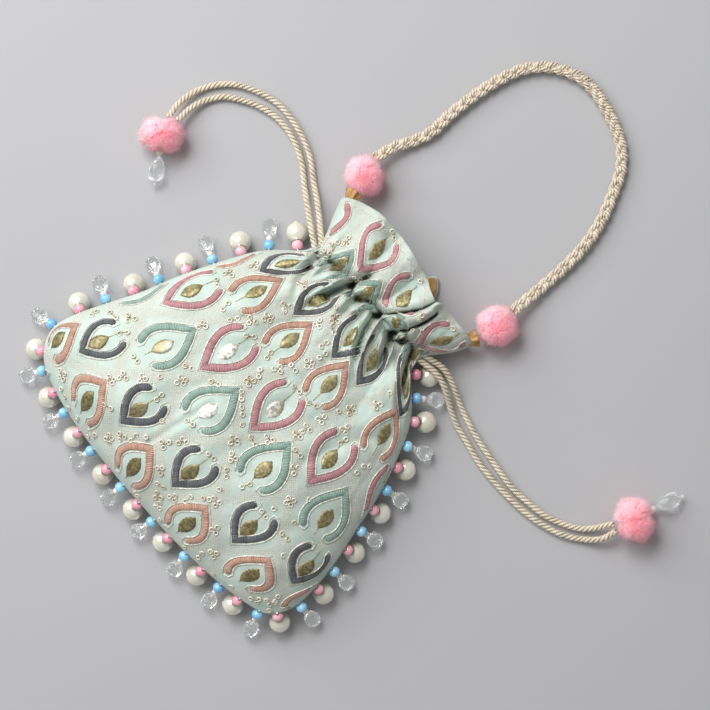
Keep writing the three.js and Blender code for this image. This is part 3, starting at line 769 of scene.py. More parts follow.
def add_pompom(name, finish, seed):
    """A ball of cut yarn: a dense core, and fibres that lean together in tufts."""
    values = POMPOMS[name]
    low, high = (np.array(corner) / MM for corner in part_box(name))
    rng = np.random.default_rng(seed)
    turned = np.array(Matrix.Rotation(-math.radians(values["turn"]), 3, "Z"))
    scale = values["radius"] * np.array([1, values["squash"], values["squash"]])

    def placed(ways, share):
        reach = pompom_reach(ways, values["lobes"]) * share
        return (ways * reach[:, None] * scale) @ turned + (low + high) / 2

    tufts = unit(ball_ways(TUFTS) + rng.normal(0, 0.06, (TUFTS, 3)))
    tuft_lengths = rng.uniform(0.93, 1.09, len(tufts))
    ways, faces = whole_ball()
    nearest = np.argmax(ways @ tufts.T, axis=1)
    swell = CORE_SHARE + 0.05 * smoothstep((ways * tufts[nearest]).sum(1), 0.94, 1.0)
    # How far the core swells towards each tuft's middle, which the yarn's painted shade reads: deeper pink
    # between the tufts
    outward = np.column_stack([np.zeros(len(ways)), (swell - CORE_SHARE + 0.02) * 5])
    shape = Shape()
    shape.add(placed(ways, swell), faces, thread=outward)
    add_fibres(shape, placed, tufts, tuft_lengths, rng)
    return add_piece(name + "_yarn", shape, finish, [name])


# Pouch

def table(columns, rows):
    return [dict(zip(columns, row)) for row in rows]


def sections_at(places):
    """Every column of the section table at row numbers that may lie between rows, on a smooth curve."""
    rows = np.array(SECTION_ROWS)
    padded = np.vstack([2 * rows[0] - rows[1], rows, 2 * rows[-1] - rows[-2]])
    first = np.clip(np.floor(places).astype(int), 0, len(rows) - 2)
    t = (places - first)[:, None]
    a, b, c, d = (padded[first + k] for k in range(4))
    values = b + 0.5 * t * (c - a + t * (2 * a - 5 * b + 4 * c - d + t * (3 * (b - c) + d - a)))
    return dict(zip(SECTION_COLUMNS, values.T[:, :, None]))


def spread(step):
    """The share of the half width at each step across a panel."""
    return 0.72 * step + 0.28 * np.sin(step * math.pi / 2)


def pleat_wave(step):
    """Gathers across a panel, which fade out at its seams."""
    fade = 1 - np.abs(step) ** 8
    lobe = 2 * np.abs(np.sin(math.pi / 2 * PLEATS_PER_PANEL * (step + 1))) ** 0.8 - 1
    return lobe * (0.8 + 0.2 * np.sin(7.3 * step + 1)) * fade


def ruffle_wave(step, panel):
    """Waves of the frill, out of step between front and back."""
    return np.sin(math.pi * RUFFLES_PER_PANEL * (step + 1) + 0.9 * panel) * (1 - step ** 6)


def panel_points(section, step, panel, depth=0.0, inset=0.0):
    """A panel's points below its outer face by a depth, and inside its side seams by an inset."""
    seam_z = section["seam"] * SEAM_HEIGHT
    half = section["width"] * BELLY_WIDTH / 2
    x = section["shift"] * BELLY_WIDTH + half * spread(step) - np.sign(step) * inset * np.abs(step) ** 6
    lead = section["lead"] * BAG_LENGTH * np.abs(step) ** 2.4
    rim = -RIM_SLANT * np.sin(math.pi * step) if panel > 0 else BACK_RIM_LEAD * (1 - step ** 4)
    y = BOTTOM_EDGE + section["along"] * BAG_LENGTH + lead + rim * section["ruffle"]
    pleats = PLEAT_DEPTH * section["pleat"] * pleat_wave(step)
    waves = RUFFLE_DEPTH * section["ruffle"] * ruffle_wave(step, panel)
    dome = (1 - np.abs(step) ** 2.6) ** 0.72
    bowl = (1 - np.abs(step) ** 4) ** 0.7
    if panel > 0:
        rise = section["rise"] * (BELLY_HEIGHT - SEAM_HEIGHT)
        z = seam_z + np.maximum(rise - depth, 0) * dome + pleats + waves
    else:
        low = seam_z - np.maximum(section["under"] * seam_z - depth, 0) * bowl
        z = low + BACK_SHARE * (pleats + waves)
    return np.stack(np.broadcast_arrays(x, y, z), -1)


def soft_noise(x, y, wave, seed):
    """Smooth bumps about so many millimetres apart, from -1 to 1."""
    rng = np.random.default_rng(seed)
    total = np.zeros(np.broadcast(x, y).shape)
    for _ in range(9):
        turn, phase = rng.uniform(0, 2 * math.pi, 2)
        size = 2 * math.pi / wave * rng.uniform(0.7, 1.4)
        total += np.sin(size * (math.cos(turn) * x + math.sin(turn) * y) + phase)
    return total / 4.5


def crease_fold(x, y, crease):
    """How far one crease lowers the cloth, which swells on both sides, and pushes it to the right."""
    start = np.array([crease["from_x"], crease["from_y"]])
    way = np.array([crease["to_x"], crease["to_y"]]) - start
    length, width = np.hypot(*way), crease["width"]
    way = way / length
    share = ((x - start[0]) * way[0] + (y - start[1]) * way[1]) / length
    inside = np.clip(share, 0, 1)
    aside = (x - start[0]) * way[1] - (y - start[1]) * way[0] - crease["bend"] * 4 * inside * (1 - inside)
    beyond = np.abs(share - inside) * length
    strength = (1 - crease["fade"] * smoothstep(inside, 0.3, 1)) * np.exp(-(beyond / width) ** 2)
    valley = np.exp(-(np.abs(aside) / width) ** 1.5)
    shoulders = 0.38 * np.exp(-((np.abs(aside) - 2.6 * width) / (1.3 * width)) ** 2)
    lean = crease["lean"] * strength * np.exp(-((aside + 1.6 * width) / (1.5 * width)) ** 2)
    return crease["depth"] * strength * (valley - shoulders), lean


def front_relief(points, step, section):
    """Creases, puffs and the drawn neck of the front panel, as changes of height and of x."""
    x, y = points[..., 0], points[..., 1]
    edge = (1 - np.abs(step) ** 6) * smoothstep(section["along"], 0.0, 0.06)
    relief = 1.1 * soft_noise(x, y, 46, 3) + 0.35 * soft_noise(x, y, 17, 4)
    gathered = smoothstep(section["along"], 0.45, 0.8)
    relief = relief + gathered * (0.5 * soft_noise(x, y, 11, 5) + 0.25 * soft_noise(x, y, 6, 6))
    for puff in table(PUFF_COLUMNS, PUFFS):
        reach = ((x - puff["x"]) / puff["reach_x"]) ** 2 + ((y - puff["y"]) / puff["reach_y"]) ** 2
        relief = relief + puff["height"] * np.exp(-reach)
    push = np.zeros(relief.shape)
    for crease in table(CREASE_COLUMNS, CREASES):
        drop, lean = crease_fold(x, y, crease)
        relief, push = relief - drop, push + lean
    neck = NECK_Y + 1.9 * np.sin(x / 4.1) + 1.1 * np.sin(x / 2.3 + 1)
    away = np.abs(y - neck)
    relief = relief - 8 * np.exp(-(away / 1.5) ** 1.5) + 2.6 * np.exp(-((away - 5.5) / 3.2) ** 2)
    return relief * edge, push * edge


def rim_notch(x):
    """How far the rim is pulled towards the neck at its deepest fold."""
    return -4.5 * np.exp(-((x - 21) / 5) ** 2)


def shaped_panel(places, step, panel, depth=0.0, inset=0.0, hollow=False):
    """A panel with its folds. The front's creases stay so high that none hangs into the mouth. A
    hollow's first rows lie inside the bottom seam."""
    section = sections_at(places)
    if hollow:
        pull = SEAM_INSET / BAG_LENGTH
        section["along"] = section["along"] + pull * np.maximum(1 - section["along"], 0) ** 12
    points = panel_points(section, step, panel, depth, inset)
    ruffle = np.maximum(section["ruffle"], 0)
    if panel > 0:
        relief, push = front_relief(points, step, section)
        points[..., 1] += ruffle * rim_notch(points[..., 0])
        points[..., 0] += push
        clear = (points[..., 2] + relief - FRONT_CLEARANCE + depth) / 1.5
        settled = FRONT_CLEARANCE - depth + 1.5 * np.logaddexp(0, np.clip(clear, -30, 30))
        points[..., 2] += np.where(points[..., 2] > FRONT_CLEARANCE + 3, settled - points[..., 2], relief)
        return points
    edge = 1 - np.abs(step) ** 6
    neck = np.exp(-((points[..., 1] - NECK_Y) / 2.6) ** 2)
    points[..., 2] += edge * (2.5 * neck + 0.4 * soft_noise(points[..., 0], points[..., 1], 24, 7))
    behind = rim_notch(points[..., 0]) - RIM_SLANT * np.sin(math.pi * step) - 1.2 * (1 - step ** 8)
    shown = 8.5 * np.exp(-((points[..., 0] - 17.5) / 5.5) ** 4)
    points[..., 1] += ruffle * (behind + shown - BACK_RIM_LEAD * (1 - step ** 4))
    points[..., 2] = np.maximum(points[..., 2], 1.1 + depth)
    return points


def row_places(count, first=0.0):
    """Row numbers of the section table that lie evenly along the bag, closer at the bottom seam."""
    alongs = np.array([row[0] for row in SECTION_ROWS])
    start = np.interp(first, np.arange(len(alongs)), alongs)
    even = np.linspace(0, 1, count)
    eased = start + (1 - start) * (even + (0.0 if first else 0.35) * (even ** 2 - even) * (1 - even) ** 3)
    return np.interp(eased, alongs, np.arange(len(alongs)))


def column_steps():
    """Shares across a panel, closer together at the seams."""
    even = np.linspace(-1, 1, PANEL_COLUMNS)
    return 0.75 * even + 0.25 * np.sin(even * math.pi / 2)


def looped(front, back):
    """Rows that run across the front and back again across the back panel."""
    return np.concatenate([front[:, :-1], back[:, :0:-1]], axis=1)


def row_bow(share, along):
    """How far a row of motifs rises towards the seams. Rows near the neck are straight."""
    return ROW_BOW * share ** 2 * (1 - smoothstep(along, 0.62, 0.8))


def lattice_place(share, along):
    """Where a place on a panel lies in the embroidery's pattern: motifs across, rows along."""
    along = along - row_bow(share, along)
    rows = table(EMBROIDERY_COLUMNS, EMBROIDERY_ROWS)
    alongs = np.array([-0.056, *[row["along"] for row in rows], 1.04])
    numbers = np.arange(-1, len(rows) + 1)
    row_place = np.interp(along, alongs, numbers)
    across = [(share - row["middle"]) / row["pitch"] + 0.5 * (number % 2)
              for number, row in enumerate(rows)]
    first = np.clip(np.floor(row_place).astype(int), 0, len(rows) - 2)
    blend = np.clip(row_place - first, 0, 1)
    stacked = np.stack(np.broadcast_arrays(*across))
    chosen = np.take_along_axis(stacked, first[None], 0)[0]
    onward = np.take_along_axis(stacked, first[None] + 1, 0)[0]
    return chosen * (1 - blend) + onward * blend, row_place


def add_pouch(finish):
    """The silk bag as one closed wall. Returns the outer face of each panel, which trim is sewn to."""
    step = column_steps()[None]
    places = row_places(PANEL_ROWS)
    panels = {side: shaped_panel(places, step, side) for side in (1, -1)}
    panels[-1][0] = panels[1][0]
    panels[-1][:, [0, -1]] = panels[1][:, [0, -1]]
    outer = looped(panels[1], panels[-1])
    hollow_places = row_places(HOLLOW_ROWS)
    inside = {side: shaped_panel(hollow_places, step, side, WALL, SEAM_INSET, True) for side in (1, -1)}
    inside[-1][0] = inside[1][0]
    inner = looped(inside[1], inside[-1])
    rows, columns, _ = outer.shape
    share = spread(step)[0]
    along = sections_at(places)["along"][:, 0]
    share_grid, along_grid = np.meshgrid(share, along)
    lattice = np.stack(lattice_place(share_grid, along_grid), -1)
    cloth = np.stack([share_grid * BELLY_WIDTH / 2, along_grid * BAG_LENGTH], -1)
    back_cloth = cloth + [BACK_PATTERN_SHIFT, 0.0]
    shape = Shape()
    shape.add(outer, grid_faces(rows, columns, wrap=True), cloth=looped(cloth, back_cloth).reshape(-1, 2),
              lattice=looped(lattice, lattice).reshape(-1, 2))
    inner_faces = grid_faces(len(inner), columns, wrap=True)[:, ::-1]
    blank = np.zeros((len(inner) * columns, 2))
    shape.add(inner, inner_faces, cloth=blank, lattice=blank + 0.25)
    shape.start = 0
    shape.close(bridge((rows - 1) * columns, (rows + len(inner) - 1) * columns, columns))
    pouch = add_piece("silk_pouch", shape, finish, ["pouch"])
    weld(pouch)
    return [Cloth(panels[side], share, along, side) for side in (1, -1)]


def weld(piece):
    """Merges points that share a place, and drops the faces that this leaves without area."""
    mesh = bmesh.new()
    mesh.from_mesh(piece.data)
    bmesh.ops.remove_doubles(mesh, verts=mesh.verts, dist=WELD_REACH * MM)
    bmesh.ops.dissolve_degenerate(mesh, edges=mesh.edges, dist=WELD_REACH * MM)
    mesh.to_mesh(piece.data)
    mesh.free()


def add_lining(finish):
    """The satin band inside the frill, a closed wall that starts below the neck."""
    step = column_steps()[None]
    places = row_places(26, LINING_FIRST_ROW)
    last = len(SECTION_ROWS) - 1
    drop = LINING_DROP / (BAG_LENGTH * (SECTION_ROWS[last][0] - SECTION_ROWS[last - 1][0]))
    places = LINING_FIRST_ROW + (places - LINING_FIRST_ROW) * (last - drop - LINING_FIRST_ROW) / (
        last - LINING_FIRST_ROW)
    loops = []
    for depth, inset in ((WALL + LINING_GAP, SEAM_INSET + LINING_GAP),
                         (WALL + LINING_GAP + LINING_WALL, SEAM_INSET + 1.5 * (LINING_GAP + LINING_WALL))):
        loops.append(looped(*(shaped_panel(places, step, side, depth, inset) for side in (1, -1))))
    rows, columns, _ = loops[0].shape
    points = np.concatenate([loops[0], loops[1][::-1]])
    shape = Shape()
    shape.add(points, grid_faces(2 * rows, columns, wrap=True))
    shape.close(bridge((2 * rows - 1) * columns, 0, columns))
    add_piece("satin_lining", shape, finish, ["frill_lining"])


# Embroidery

class Cloth:
    """The outer face of one panel, which trim is sewn to."""

    def __init__(self, points, share, along, side):
        self.points, self.share, self.along, self.side = points, share, along, side
        self.normals = side * unit(np.cross(np.gradient(points, axis=1), np.gradient(points, axis=0)))

    def sampled(self, grid, share, along):
        """Values of a grid between its rows and columns."""
        column = np.interp(share, self.share, np.arange(len(self.share)))
        row = np.interp(along, self.along, np.arange(len(self.along)))
        c = np.minimum(column.astype(int), len(self.share) - 2)
        r = np.minimum(row.astype(int), len(self.along) - 2)
        u, v = (column - c)[..., None], (row - r)[..., None]
        low = grid[r, c] * (1 - u) + grid[r, c + 1] * u
        high = grid[r + 1, c] * (1 - u) + grid[r + 1, c + 1] * u
        return low * (1 - v) + high * v

    def raised(self, share, along, lift):
        """Points so far above the cloth."""
        normals = unit(self.sampled(self.normals, share, along))
        return self.sampled(self.points, share, along) + normals * np.asarray(lift)[..., None]

    def half_width(self, along):
        """Half the panel's width at a place along it."""
        return np.interp(along, self.along, np.ptp(self.points[..., 0], axis=1) / 2)


def drawn_in(share):
    """Shares across a panel, closer together where it turns under at the side seams."""
    beyond = np.maximum(np.abs(share) - 0.84, 0)
    return np.sign(share) * (np.minimum(np.abs(share), 0.84) + 0.16 * np.tanh(beyond / 0.16))


def motif_place(row, middle, local):
    """Share and place along the panel for points given in millimetres from a motif's leaf."""
    share = drawn_in(middle + local[..., 0] * row["pitch"] / 40)
    return share, row["along"] + row_bow(share, row["along"]) + row["tip"] * local[..., 1] / BAG_LENGTH


def petal_line(row):
    """The middle line of a motif's band, open end to open end, with the way outwards at each point."""
    t = np.linspace(0, 1, 60)[:, None]
    a, b, c, d = (np.array(corner) for corner in PETAL)
    half = (1 - t) ** 3 * a + 3 * (1 - t) ** 2 * t * b + 3 * (1 - t) * t ** 2 * c + t ** 3 * d
    centre = (row["to_tip"] - row["to_open"]) / 2
    half = np.column_stack([
        half[:, 0] * row["half_width"] / 1.02, centre + half[:, 1] * (row["to_tip"] - centre)])
    half = np.delete(evenly(half, BAND_STEP), 1, axis=0)
    line = np.concatenate([half[::-1] * [-1, 1], half[1:]])
    forward = unit(np.gradient(line, axis=0))
    outward = np.column_stack([-forward[:, 1], forward[:, 0]])
    tip = len(half) - 1
    slope = unit(line[tip + 1] - line[tip])
    outward[tip] /= max(abs(slope[0]), 0.5)
    return line, outward


def runs(kept):
    """The stretches of places that are kept, as slices."""
    edges = np.flatnonzero(np.diff(np.concatenate([[0], kept.astype(int), [0]])))
    return [slice(first, last) for first, last in zip(edges[::2], edges[1::2]) if last - first > 3]


def on_panel(cloth, share, along, margin):
    """Which places lie so many millimetres inside the panel's seams and rim."""
    inside = np.abs(share) < 1 - margin / cloth.half_width(along)
    return inside & (along > margin / BAG_LENGTH) & (along < 1 - margin / BAG_LENGTH)


def add_stitched(shape, cloth, row, middle, line, outward, half_widths, height, mitred=False):
    """A padded stretch of embroidery on the cloth, with rounded ends. A mitred one turns at its tip.
    It stops where the cloth turns down into a deep crease."""
    across, lifts = np.array(BAND_PROFILE).T
    flip = row["tip"] * cloth.side < 0
    lengths = lengths_along(line)
    share, along = motif_place(row, middle, line)
    facing = cloth.side * unit(cloth.sampled(cloth.normals, share, along))[:, 2]
    kept = on_panel(cloth, share, along, 0.5 + 0.6 * half_widths.max())
    kept &= (facing > 0.2) | (np.abs(share) > 0.75)
    for run in runs(kept):
        place = lengths[run] - lengths[run][0]
        ends = np.minimum(place, place[-1] - place)
        rounding = np.minimum((ends + 0.25) / half_widths.max(), 1)
        rounding = np.sqrt(np.clip(1 - (1 - rounding) ** 2, 0.05, 1))
        reach = (half_widths[run] * rounding)[:, None]
        for _ in range(2):
            offsets = outward[run][:, None] * (reach * across)[..., None]
            local = line[run][:, None] + offsets
            beyond = np.sign(line[run][:, None, 0]) * local[..., 0] < 0
            local[..., 0] = np.where(beyond & mitred, 0, local[..., 0])
            share, along = motif_place(row, middle, local)
            points = cloth.raised(share, along, lifts * height * rounding[:, None])
            real = np.linalg.norm(points[:, 0] - points[:, -1], axis=1) / 2
            wanted = half_widths[run] * rounding
            reach = reach * np.clip(wanted / np.maximum(real, 0.1), 0.8, 1.5)[:, None] ** 0.6
        faces = grid_faces(len(points), len(across), wrap=True)
        u = ring_map(place, len(across))
        last = (len(points) - 1) * len(across)
        caps = [list(range(len(across) - 1, -1, -1)), list(range(last, last + len(across)))]
        if flip:
            faces, u, caps = faces[:, ::-1], u[:, ::-1], [cap[::-1] for cap in caps]
        shape.add(points, faces, thread=u)
        shape.close(caps)


def add_laid_thread(shape, cloth, share, along, width, lift=0.1):
    """A fine thread sewn flat along a line of places on the cloth."""
    for run in runs(on_panel(cloth, share, along, 1.2)):
        middle = cloth.raised(share[run], along[run], np.full(len(share[run]), lift))
        normals = unit(cloth.sampled(cloth.normals, share[run], along[run]))
        forward = unit(np.gradient(middle, axis=0))
        across = unit(np.cross(normals, forward))
        add_tube(shape, middle, across, np.cross(forward, across), width / 2, 4, lengths_along(middle))


def add_leaf(shapes, cloth, row, middle):
    """A padded leaf, with a stem to the motif's open end. Returns the leaf's middle line."""
    share = np.linspace(0, 1, 15)
    leaf = np.column_stack([0.4 * np.sin(2.5 * share), (share - 0.5) * LEAF_LENGTH])
    teeth = 1 + 0.05 * (-1.0) ** np.arange(len(share))
    half = LEAF_WIDTH / 2 * np.sin(math.pi * np.clip(share, 0.03, 0.96) ** 1.1) ** 0.6 * teeth
    sideways = np.tile([-1.0, 0.0], (len(share), 1))
    add_stitched(shapes["leaf"], cloth, row, middle, leaf, sideways, half, LEAF_HEIGHT)
    stem = np.column_stack([np.zeros(8), np.linspace(-LEAF_LENGTH / 2 + 1, -row["to_open"] - 0.5, 8)])
    add_laid_thread(shapes["stem"], cloth, *motif_place(row, middle, stem), 0.4, 0.15)
    return leaf


def add_motif(shapes, cloth, row, middle, rng):
    """A pointed arch with a cord laid round it, and the leaf inside. Returns the places it takes."""
    line, outward = petal_line(row)
    widths = BAND_WIDTH / 2 * rng.uniform(0.94, 1.04) * rng.uniform(0.88, 1.1, len(line))
    add_stitched(shapes[row["thread"]], cloth, row, middle, line, outward, widths, BAND_HEIGHT, True)
    edges = []
    for side in (1, -1):
        edge = line + side * OUTLINE_OFFSET * outward
        edge[:, 0] = np.where(np.sign(line[:, 0]) * edge[:, 0] < 0, 0, edge[:, 0])
        edges.append(edge[::side])
    ways = unit(np.array([line[-1] - line[-2], line[0] - line[1]]))
    caps = [end + OUTLINE_OFFSET * 0.9 * way for end, way in zip((line[-1], line[0]), ways)]
    loop = np.vstack([edges[0], caps[:1], edges[1], caps[1:], edges[0][:1]])
    add_laid_thread(shapes["outline"], cloth, *motif_place(row, middle, loop), OUTLINE_WIDTH, 0.2)
    leaf = add_leaf(shapes, cloth, row, middle)
    return np.column_stack(motif_place(row, middle, np.vstack([line, leaf])))


def add_flower(shapes, cloth, taken, rng, share, along, count):
    """Sequins round a place that no motif takes, each held by a short gold stitch."""
    start = rng.uniform(0, 2 * math.pi)
    half = cloth.half_width(along)
    apart = np.hypot((taken[:, 0] - share) * half, (taken[:, 1] - along) * BAG_LENGTH)
    if apart.min() < FLOWER_CLEARANCE:
        return
    for number in range(count):
        turn = start + 2 * math.pi * number / count + rng.normal(0, 0.2)
        reach = 1.9 + rng.normal(0, 0.2)
        place = np.array([share + reach * math.cos(turn) / half,
                          along + reach * math.sin(turn) / BAG_LENGTH])
        if not on_panel(cloth, *place, 2.0):
            continue
        tilt = unit(unit(cloth.sampled(cloth.normals, *place)) + rng.normal(0, 0.12, 3))
        side = unit(np.cross(tilt, [0.3, 0.9, 0.1]))
        turns = np.linspace(0, 2 * math.pi, 11)[:-1]
        out = np.cos(turns)[:, None] * side + np.sin(turns)[:, None] * np.cross(tilt, side)
        add_ring(shapes["sequin"], cloth.raised(*place, 0.35), out, tilt)
        line = np.linspace(place, [share, along], 5)
        add_laid_thread(shapes["stem"], cloth, line[:, 0], line[:, 1], 0.3, 0.6)


def add_flowers(shapes, cloth, taken, rows, rng):
    """Sequins in the gaps of the lattice, some beside them, some between motifs and at open ends."""

    def add(share, along, fewest, most):
        count = int(rng.integers(fewest, most + 1)) if fewest < most else fewest
        add_flower(shapes, cloth, taken, rng, share, along, count)

    for number, row in enumerate(rows):
        before = rows[number - 1]["along"] if number else 2 * row["along"] - rows[1]["along"]
        between = (row["along"] + before) / 2
        for step in range(-6, 8):
            share = row["middle"] + (step / 2 + 0.25) * row["pitch"]
            add(share, between + rng.normal(0, 0.004), 2, 3)
            for side in (-1, 1):
                nearer = share + side * 0.125 * row["pitch"] * (-1 if step % 2 else 1)
                level = between + side * 0.25 * (row["along"] - before)
                place = nearer + rng.normal(0, 0.012), level + rng.normal(0, 0.005)
                if rng.random() < 0.7:
                    add(*place, 1, 3)
        for step in range(-3, 4):
            share = row["middle"] + (step + 0.5) * row["pitch"]
            add(share + rng.normal(0, 0.01), row["along"], 3, 4)
            ends = row["along"] - row["tip"] * (row["to_open"] + 1.5) / BAG_LENGTH
            add(row["middle"] + step * row["pitch"], ends, 2, 2)


def add_hem_stitches(shape, cloth):
    """A row of slanting stitches inside the rim, where the hem is turned under."""
    level = 1 - 4.2 / BAG_LENGTH
    half = cloth.half_width(level)
    reach = np.linspace(0, 2.3, 4)
    for share in np.arange(-0.95, 0.95, 3.5 / half):
        add_laid_thread(shape, cloth, share + reach / half, level + 0.08 * reach / BAG_LENGTH, 0.4, 0.12)


def add_ring(shape, centre, out, normal):
    """A closed flat ring with a rounded edge."""
    rim = SEQUIN_RADIUS - SEQUIN_THICKNESS
    profile = ((SEQUIN_THICKNESS, 0.0), (0.0, 0.3), (-SEQUIN_THICKNESS, 0.0))
    rings = np.stack([centre + out * (rim + wide) + normal * high for wide, high in profile])
    under = np.array(bridge(0, 2 * len(out), len(out)))[:, ::-1]
    faces = np.concatenate([grid_faces(len(profile), len(out), wrap=True), under])
    shape.add(rings, faces[:, ::-1] if np.dot(np.cross(out[0], out[1]), normal) < 0 else faces)


def add_embroidery(cloths):
    """Rows of motifs in coloured floss on both panels, with sequins between them."""
    finishes = {
        "orange": make_satin_stitch("orange_rayon_floss", "#9c6a54", "#e3b49c"),
        "grey": make_satin_stitch("grey_rayon_floss", "#26282c", "#74777b"),
        "teal": make_satin_stitch("teal_rayon_floss", "#668a7e", "#aecabd"),
        "pink": make_satin_stitch("rose_rayon_floss", "#9c5a64", "#dfa6aa"),
        "outline": make_outline_thread(),
        "leaf": make_gold_leaf(),
        "stem": make_gold_wire(),
        "sequin": make_sequin(),
    }
    shapes = {kind: Shape() for kind in finishes}
    rng = np.random.default_rng(5)
    rows = table(EMBROIDERY_COLUMNS, EMBROIDERY_ROWS)
    for cloth in cloths:
        add_hem_stitches(shapes["outline"], cloth)
        taken = []
        for number, row in enumerate(rows):
            even = [(row["middle"] + step * row["pitch"], 0) for step in range(-3, 4)]
            for middle, past in UNEVEN_ROWS.get(number, even):
                if abs(middle) < 1.16:
                    moved = dict(row, along=row["along"] + past / BAG_LENGTH)
                    taken.append(add_motif(shapes, cloth, moved, middle, rng))
        add_flowers(shapes, cloth, np.vstack(taken), rows, rng)
    for kind, shape in shapes.items():
        add_piece("embroidery_" + kind, shape, finishes[kind])


# Drops and pendants

def start_part(add, finish, **settings):
    """A primitive in one finish, in millimetres, added with nothing else selected."""
    bpy.ops.object.select_all(action="DESELECT")
    add(**settings)
    part = bpy.context.object
    part.data.materials.append(finish)
    return part


def add_bead(finish, radius, middle, segments=20, rings=12, squash=1.0):
    """A drilled round bead, its hole along Z."""
    part = start_part(bpy.ops.mesh.primitive_uv_sphere_add, finish, segments=segments, ring_count=rings,
                      radius=radius, location=(0, 0, -middle), scale=(1, 1, squash))
    mark_poles(part, -middle, radius * squash)
    bpy.ops.object.mode_set(mode="EDIT")
    bpy.ops.mesh.inset(thickness=0.12 * radius)
    bpy.ops.mesh.bevel(offset=0.05 * radius, segments=2, affect="EDGES")
    bpy.ops.object.mode_set(mode="OBJECT")
    bpy.ops.object.shade_smooth()
    return part


def mark_poles(part, middle, reach):
    """Selects the faces round both ends of a ball."""
    for item in (*part.data.vertices, *part.data.edges, *part.data.polygons):
        item.select = False
    for face in part.data.polygons:
        face.select = abs(face.center.z + part.location.z - middle) > 0.93 * reach


def add_cut_crystal(finish, radius, top, length, widest):
    """A clear drop with flat facets, which narrows towards both ends."""
    part = start_part(bpy.ops.mesh.primitive_uv_sphere_add, finish, segments=8, ring_count=6, radius=1,
                      location=(0, 0, 0))
    bpy.ops.object.mode_set(mode="EDIT")
    bpy.ops.mesh.select_all(action="SELECT")
    bpy.ops.transform.resize(value=(radius, radius, length / 2))
    bpy.ops.object.mode_set(mode="OBJECT")
    for vertex in part.data.vertices:
        height = 0.5 - vertex.co.z / length
        turn = math.pi / 8 * (round(height * 6) % 2)
        vertex.co = Matrix.Rotation(turn, 3, "Z") @ vertex.co
        vertex.co.z = -top - length * height ** (math.log(widest) / math.log(0.5))
    bpy.ops.object.mode_set(mode="EDIT")
    bpy.ops.mesh.select_all(action="SELECT")
    bpy.ops.mesh.quads_convert_to_tris()
    bpy.ops.object.mode_set(mode="OBJECT")
    bpy.ops.object.shade_flat()
    return part


def join(parts, name):
    bpy.ops.object.select_all(action="DESELECT")
    for part in parts:
        part.select_set(True)
    bpy.context.view_layer.objects.active = parts[0]
    bpy.ops.object.transform_apply(location=True, rotation=True, scale=True)
    bpy.ops.object.join()
    joined = bpy.context.object
    joined.name = name
    return joined


def poles(node):
    """The two ends of a turned solid, in millimetres."""
    points = np.array([v.co for v in bpy.data.objects[node].data.vertices]) / MM
    first = points[np.argmax(np.linalg.norm(points - points.mean(0), axis=1))]
    second = points[np.argmax(np.linalg.norm(points - first, axis=1))]
    return first, second


def place_copy(master, name, node, top, tip, roll, slot):
    """A copy of a drop in its node's place, its own Z axis running from tip to top."""
    axis = Vector(top - tip).normalized()
    turn = axis.to_track_quat("Z", "Y").to_matrix().to_4x4() @ Matrix.Rotation(roll, 4, "Z")
    mesh = master.data.copy()
    mesh.transform(Matrix.Scale(MM, 4) @ Matrix.Translation(Vector(top)) @ turn)
    mesh.name = name
    piece = bpy.data.objects.new(name, mesh)
    bpy.context.scene.collection.objects.link(piece)
    return settle(piece, [node])


def add_drops():
    pearl, cream = make_pearl(), make_bead("seed_pearl", "#e0d9ca", "#f6f1e6")
    pink = make_bead("pink_glass", "#f39bb0", "#ffc0cd")
    blue = make_bead("sky_glass", "#6fb7e6", "#a4dcf8")
    glass, thread = make_crystal(), make_outline_thread()
    pearl_thread, crystal_thread = (
        start_part(bpy.ops.mesh.primitive_cylinder_add, thread, vertices=8, radius=0.45,
                   depth=length + THREAD_OVERLAP, location=(0, 0, -(length - THREAD_OVERLAP) / 2))
        for length in (PEARL_THREAD_LENGTH, CRYSTAL_THREAD_LENGTH))
    pearl_drop = join([
        add_bead(pink, *TOP_BEAD, squash=0.9), add_bead(pearl, *PEARL, 32, 20),
        add_bead(cream, *PEARL_END_BEAD, 10, 8), pearl_thread], "pearl_drop_master")
    crystal_drop = join([
        add_bead(blue, *TOP_BEAD, squash=0.9), add_bead(cream, *JOINING_PEARL, 14, 10),
        add_cut_crystal(glass, *CRYSTAL), add_bead(cream, *CRYSTAL_END_BEAD, 10, 8),
        crystal_thread], "crystal_drop_master")
    pendant = join([
        add_bead(cream, *PENDANT_PEARL, 14, 10), add_cut_crystal(glass, *PENDANT_CRYSTAL),
        add_bead(glass, *PENDANT_END_BEAD, 12, 8)], "pendant_master")
    rng = np.random.default_rng(8)
    for node in sorted(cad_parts):
        roll = rng.uniform(0, math.pi)
        ends = sorted(poles(node), key=lambda end: -end[2]) if "_drop_" in node else None
        if node.startswith("pearl_drop"):
            place_copy(pearl_drop, node + "_strung", node, *ends, roll, "pearl")
        elif node.startswith("crystal_drop"):
            place_copy(crystal_drop, node + "_strung", node, *ends, roll, "crystal")
        elif node.startswith("end_pendant"):
            ball = sum(np.array(corner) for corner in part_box(node.replace("pendant", "pompom"))) / 2 / MM
            ends = sorted(poles(node), key=lambda end: np.linalg.norm(end - ball))
            place_copy(pendant, node + "_cut", node, *ends, roll, "crystal")
    for master in (pearl_drop, crystal_drop, pendant):
        bpy.data.objects.remove(master)


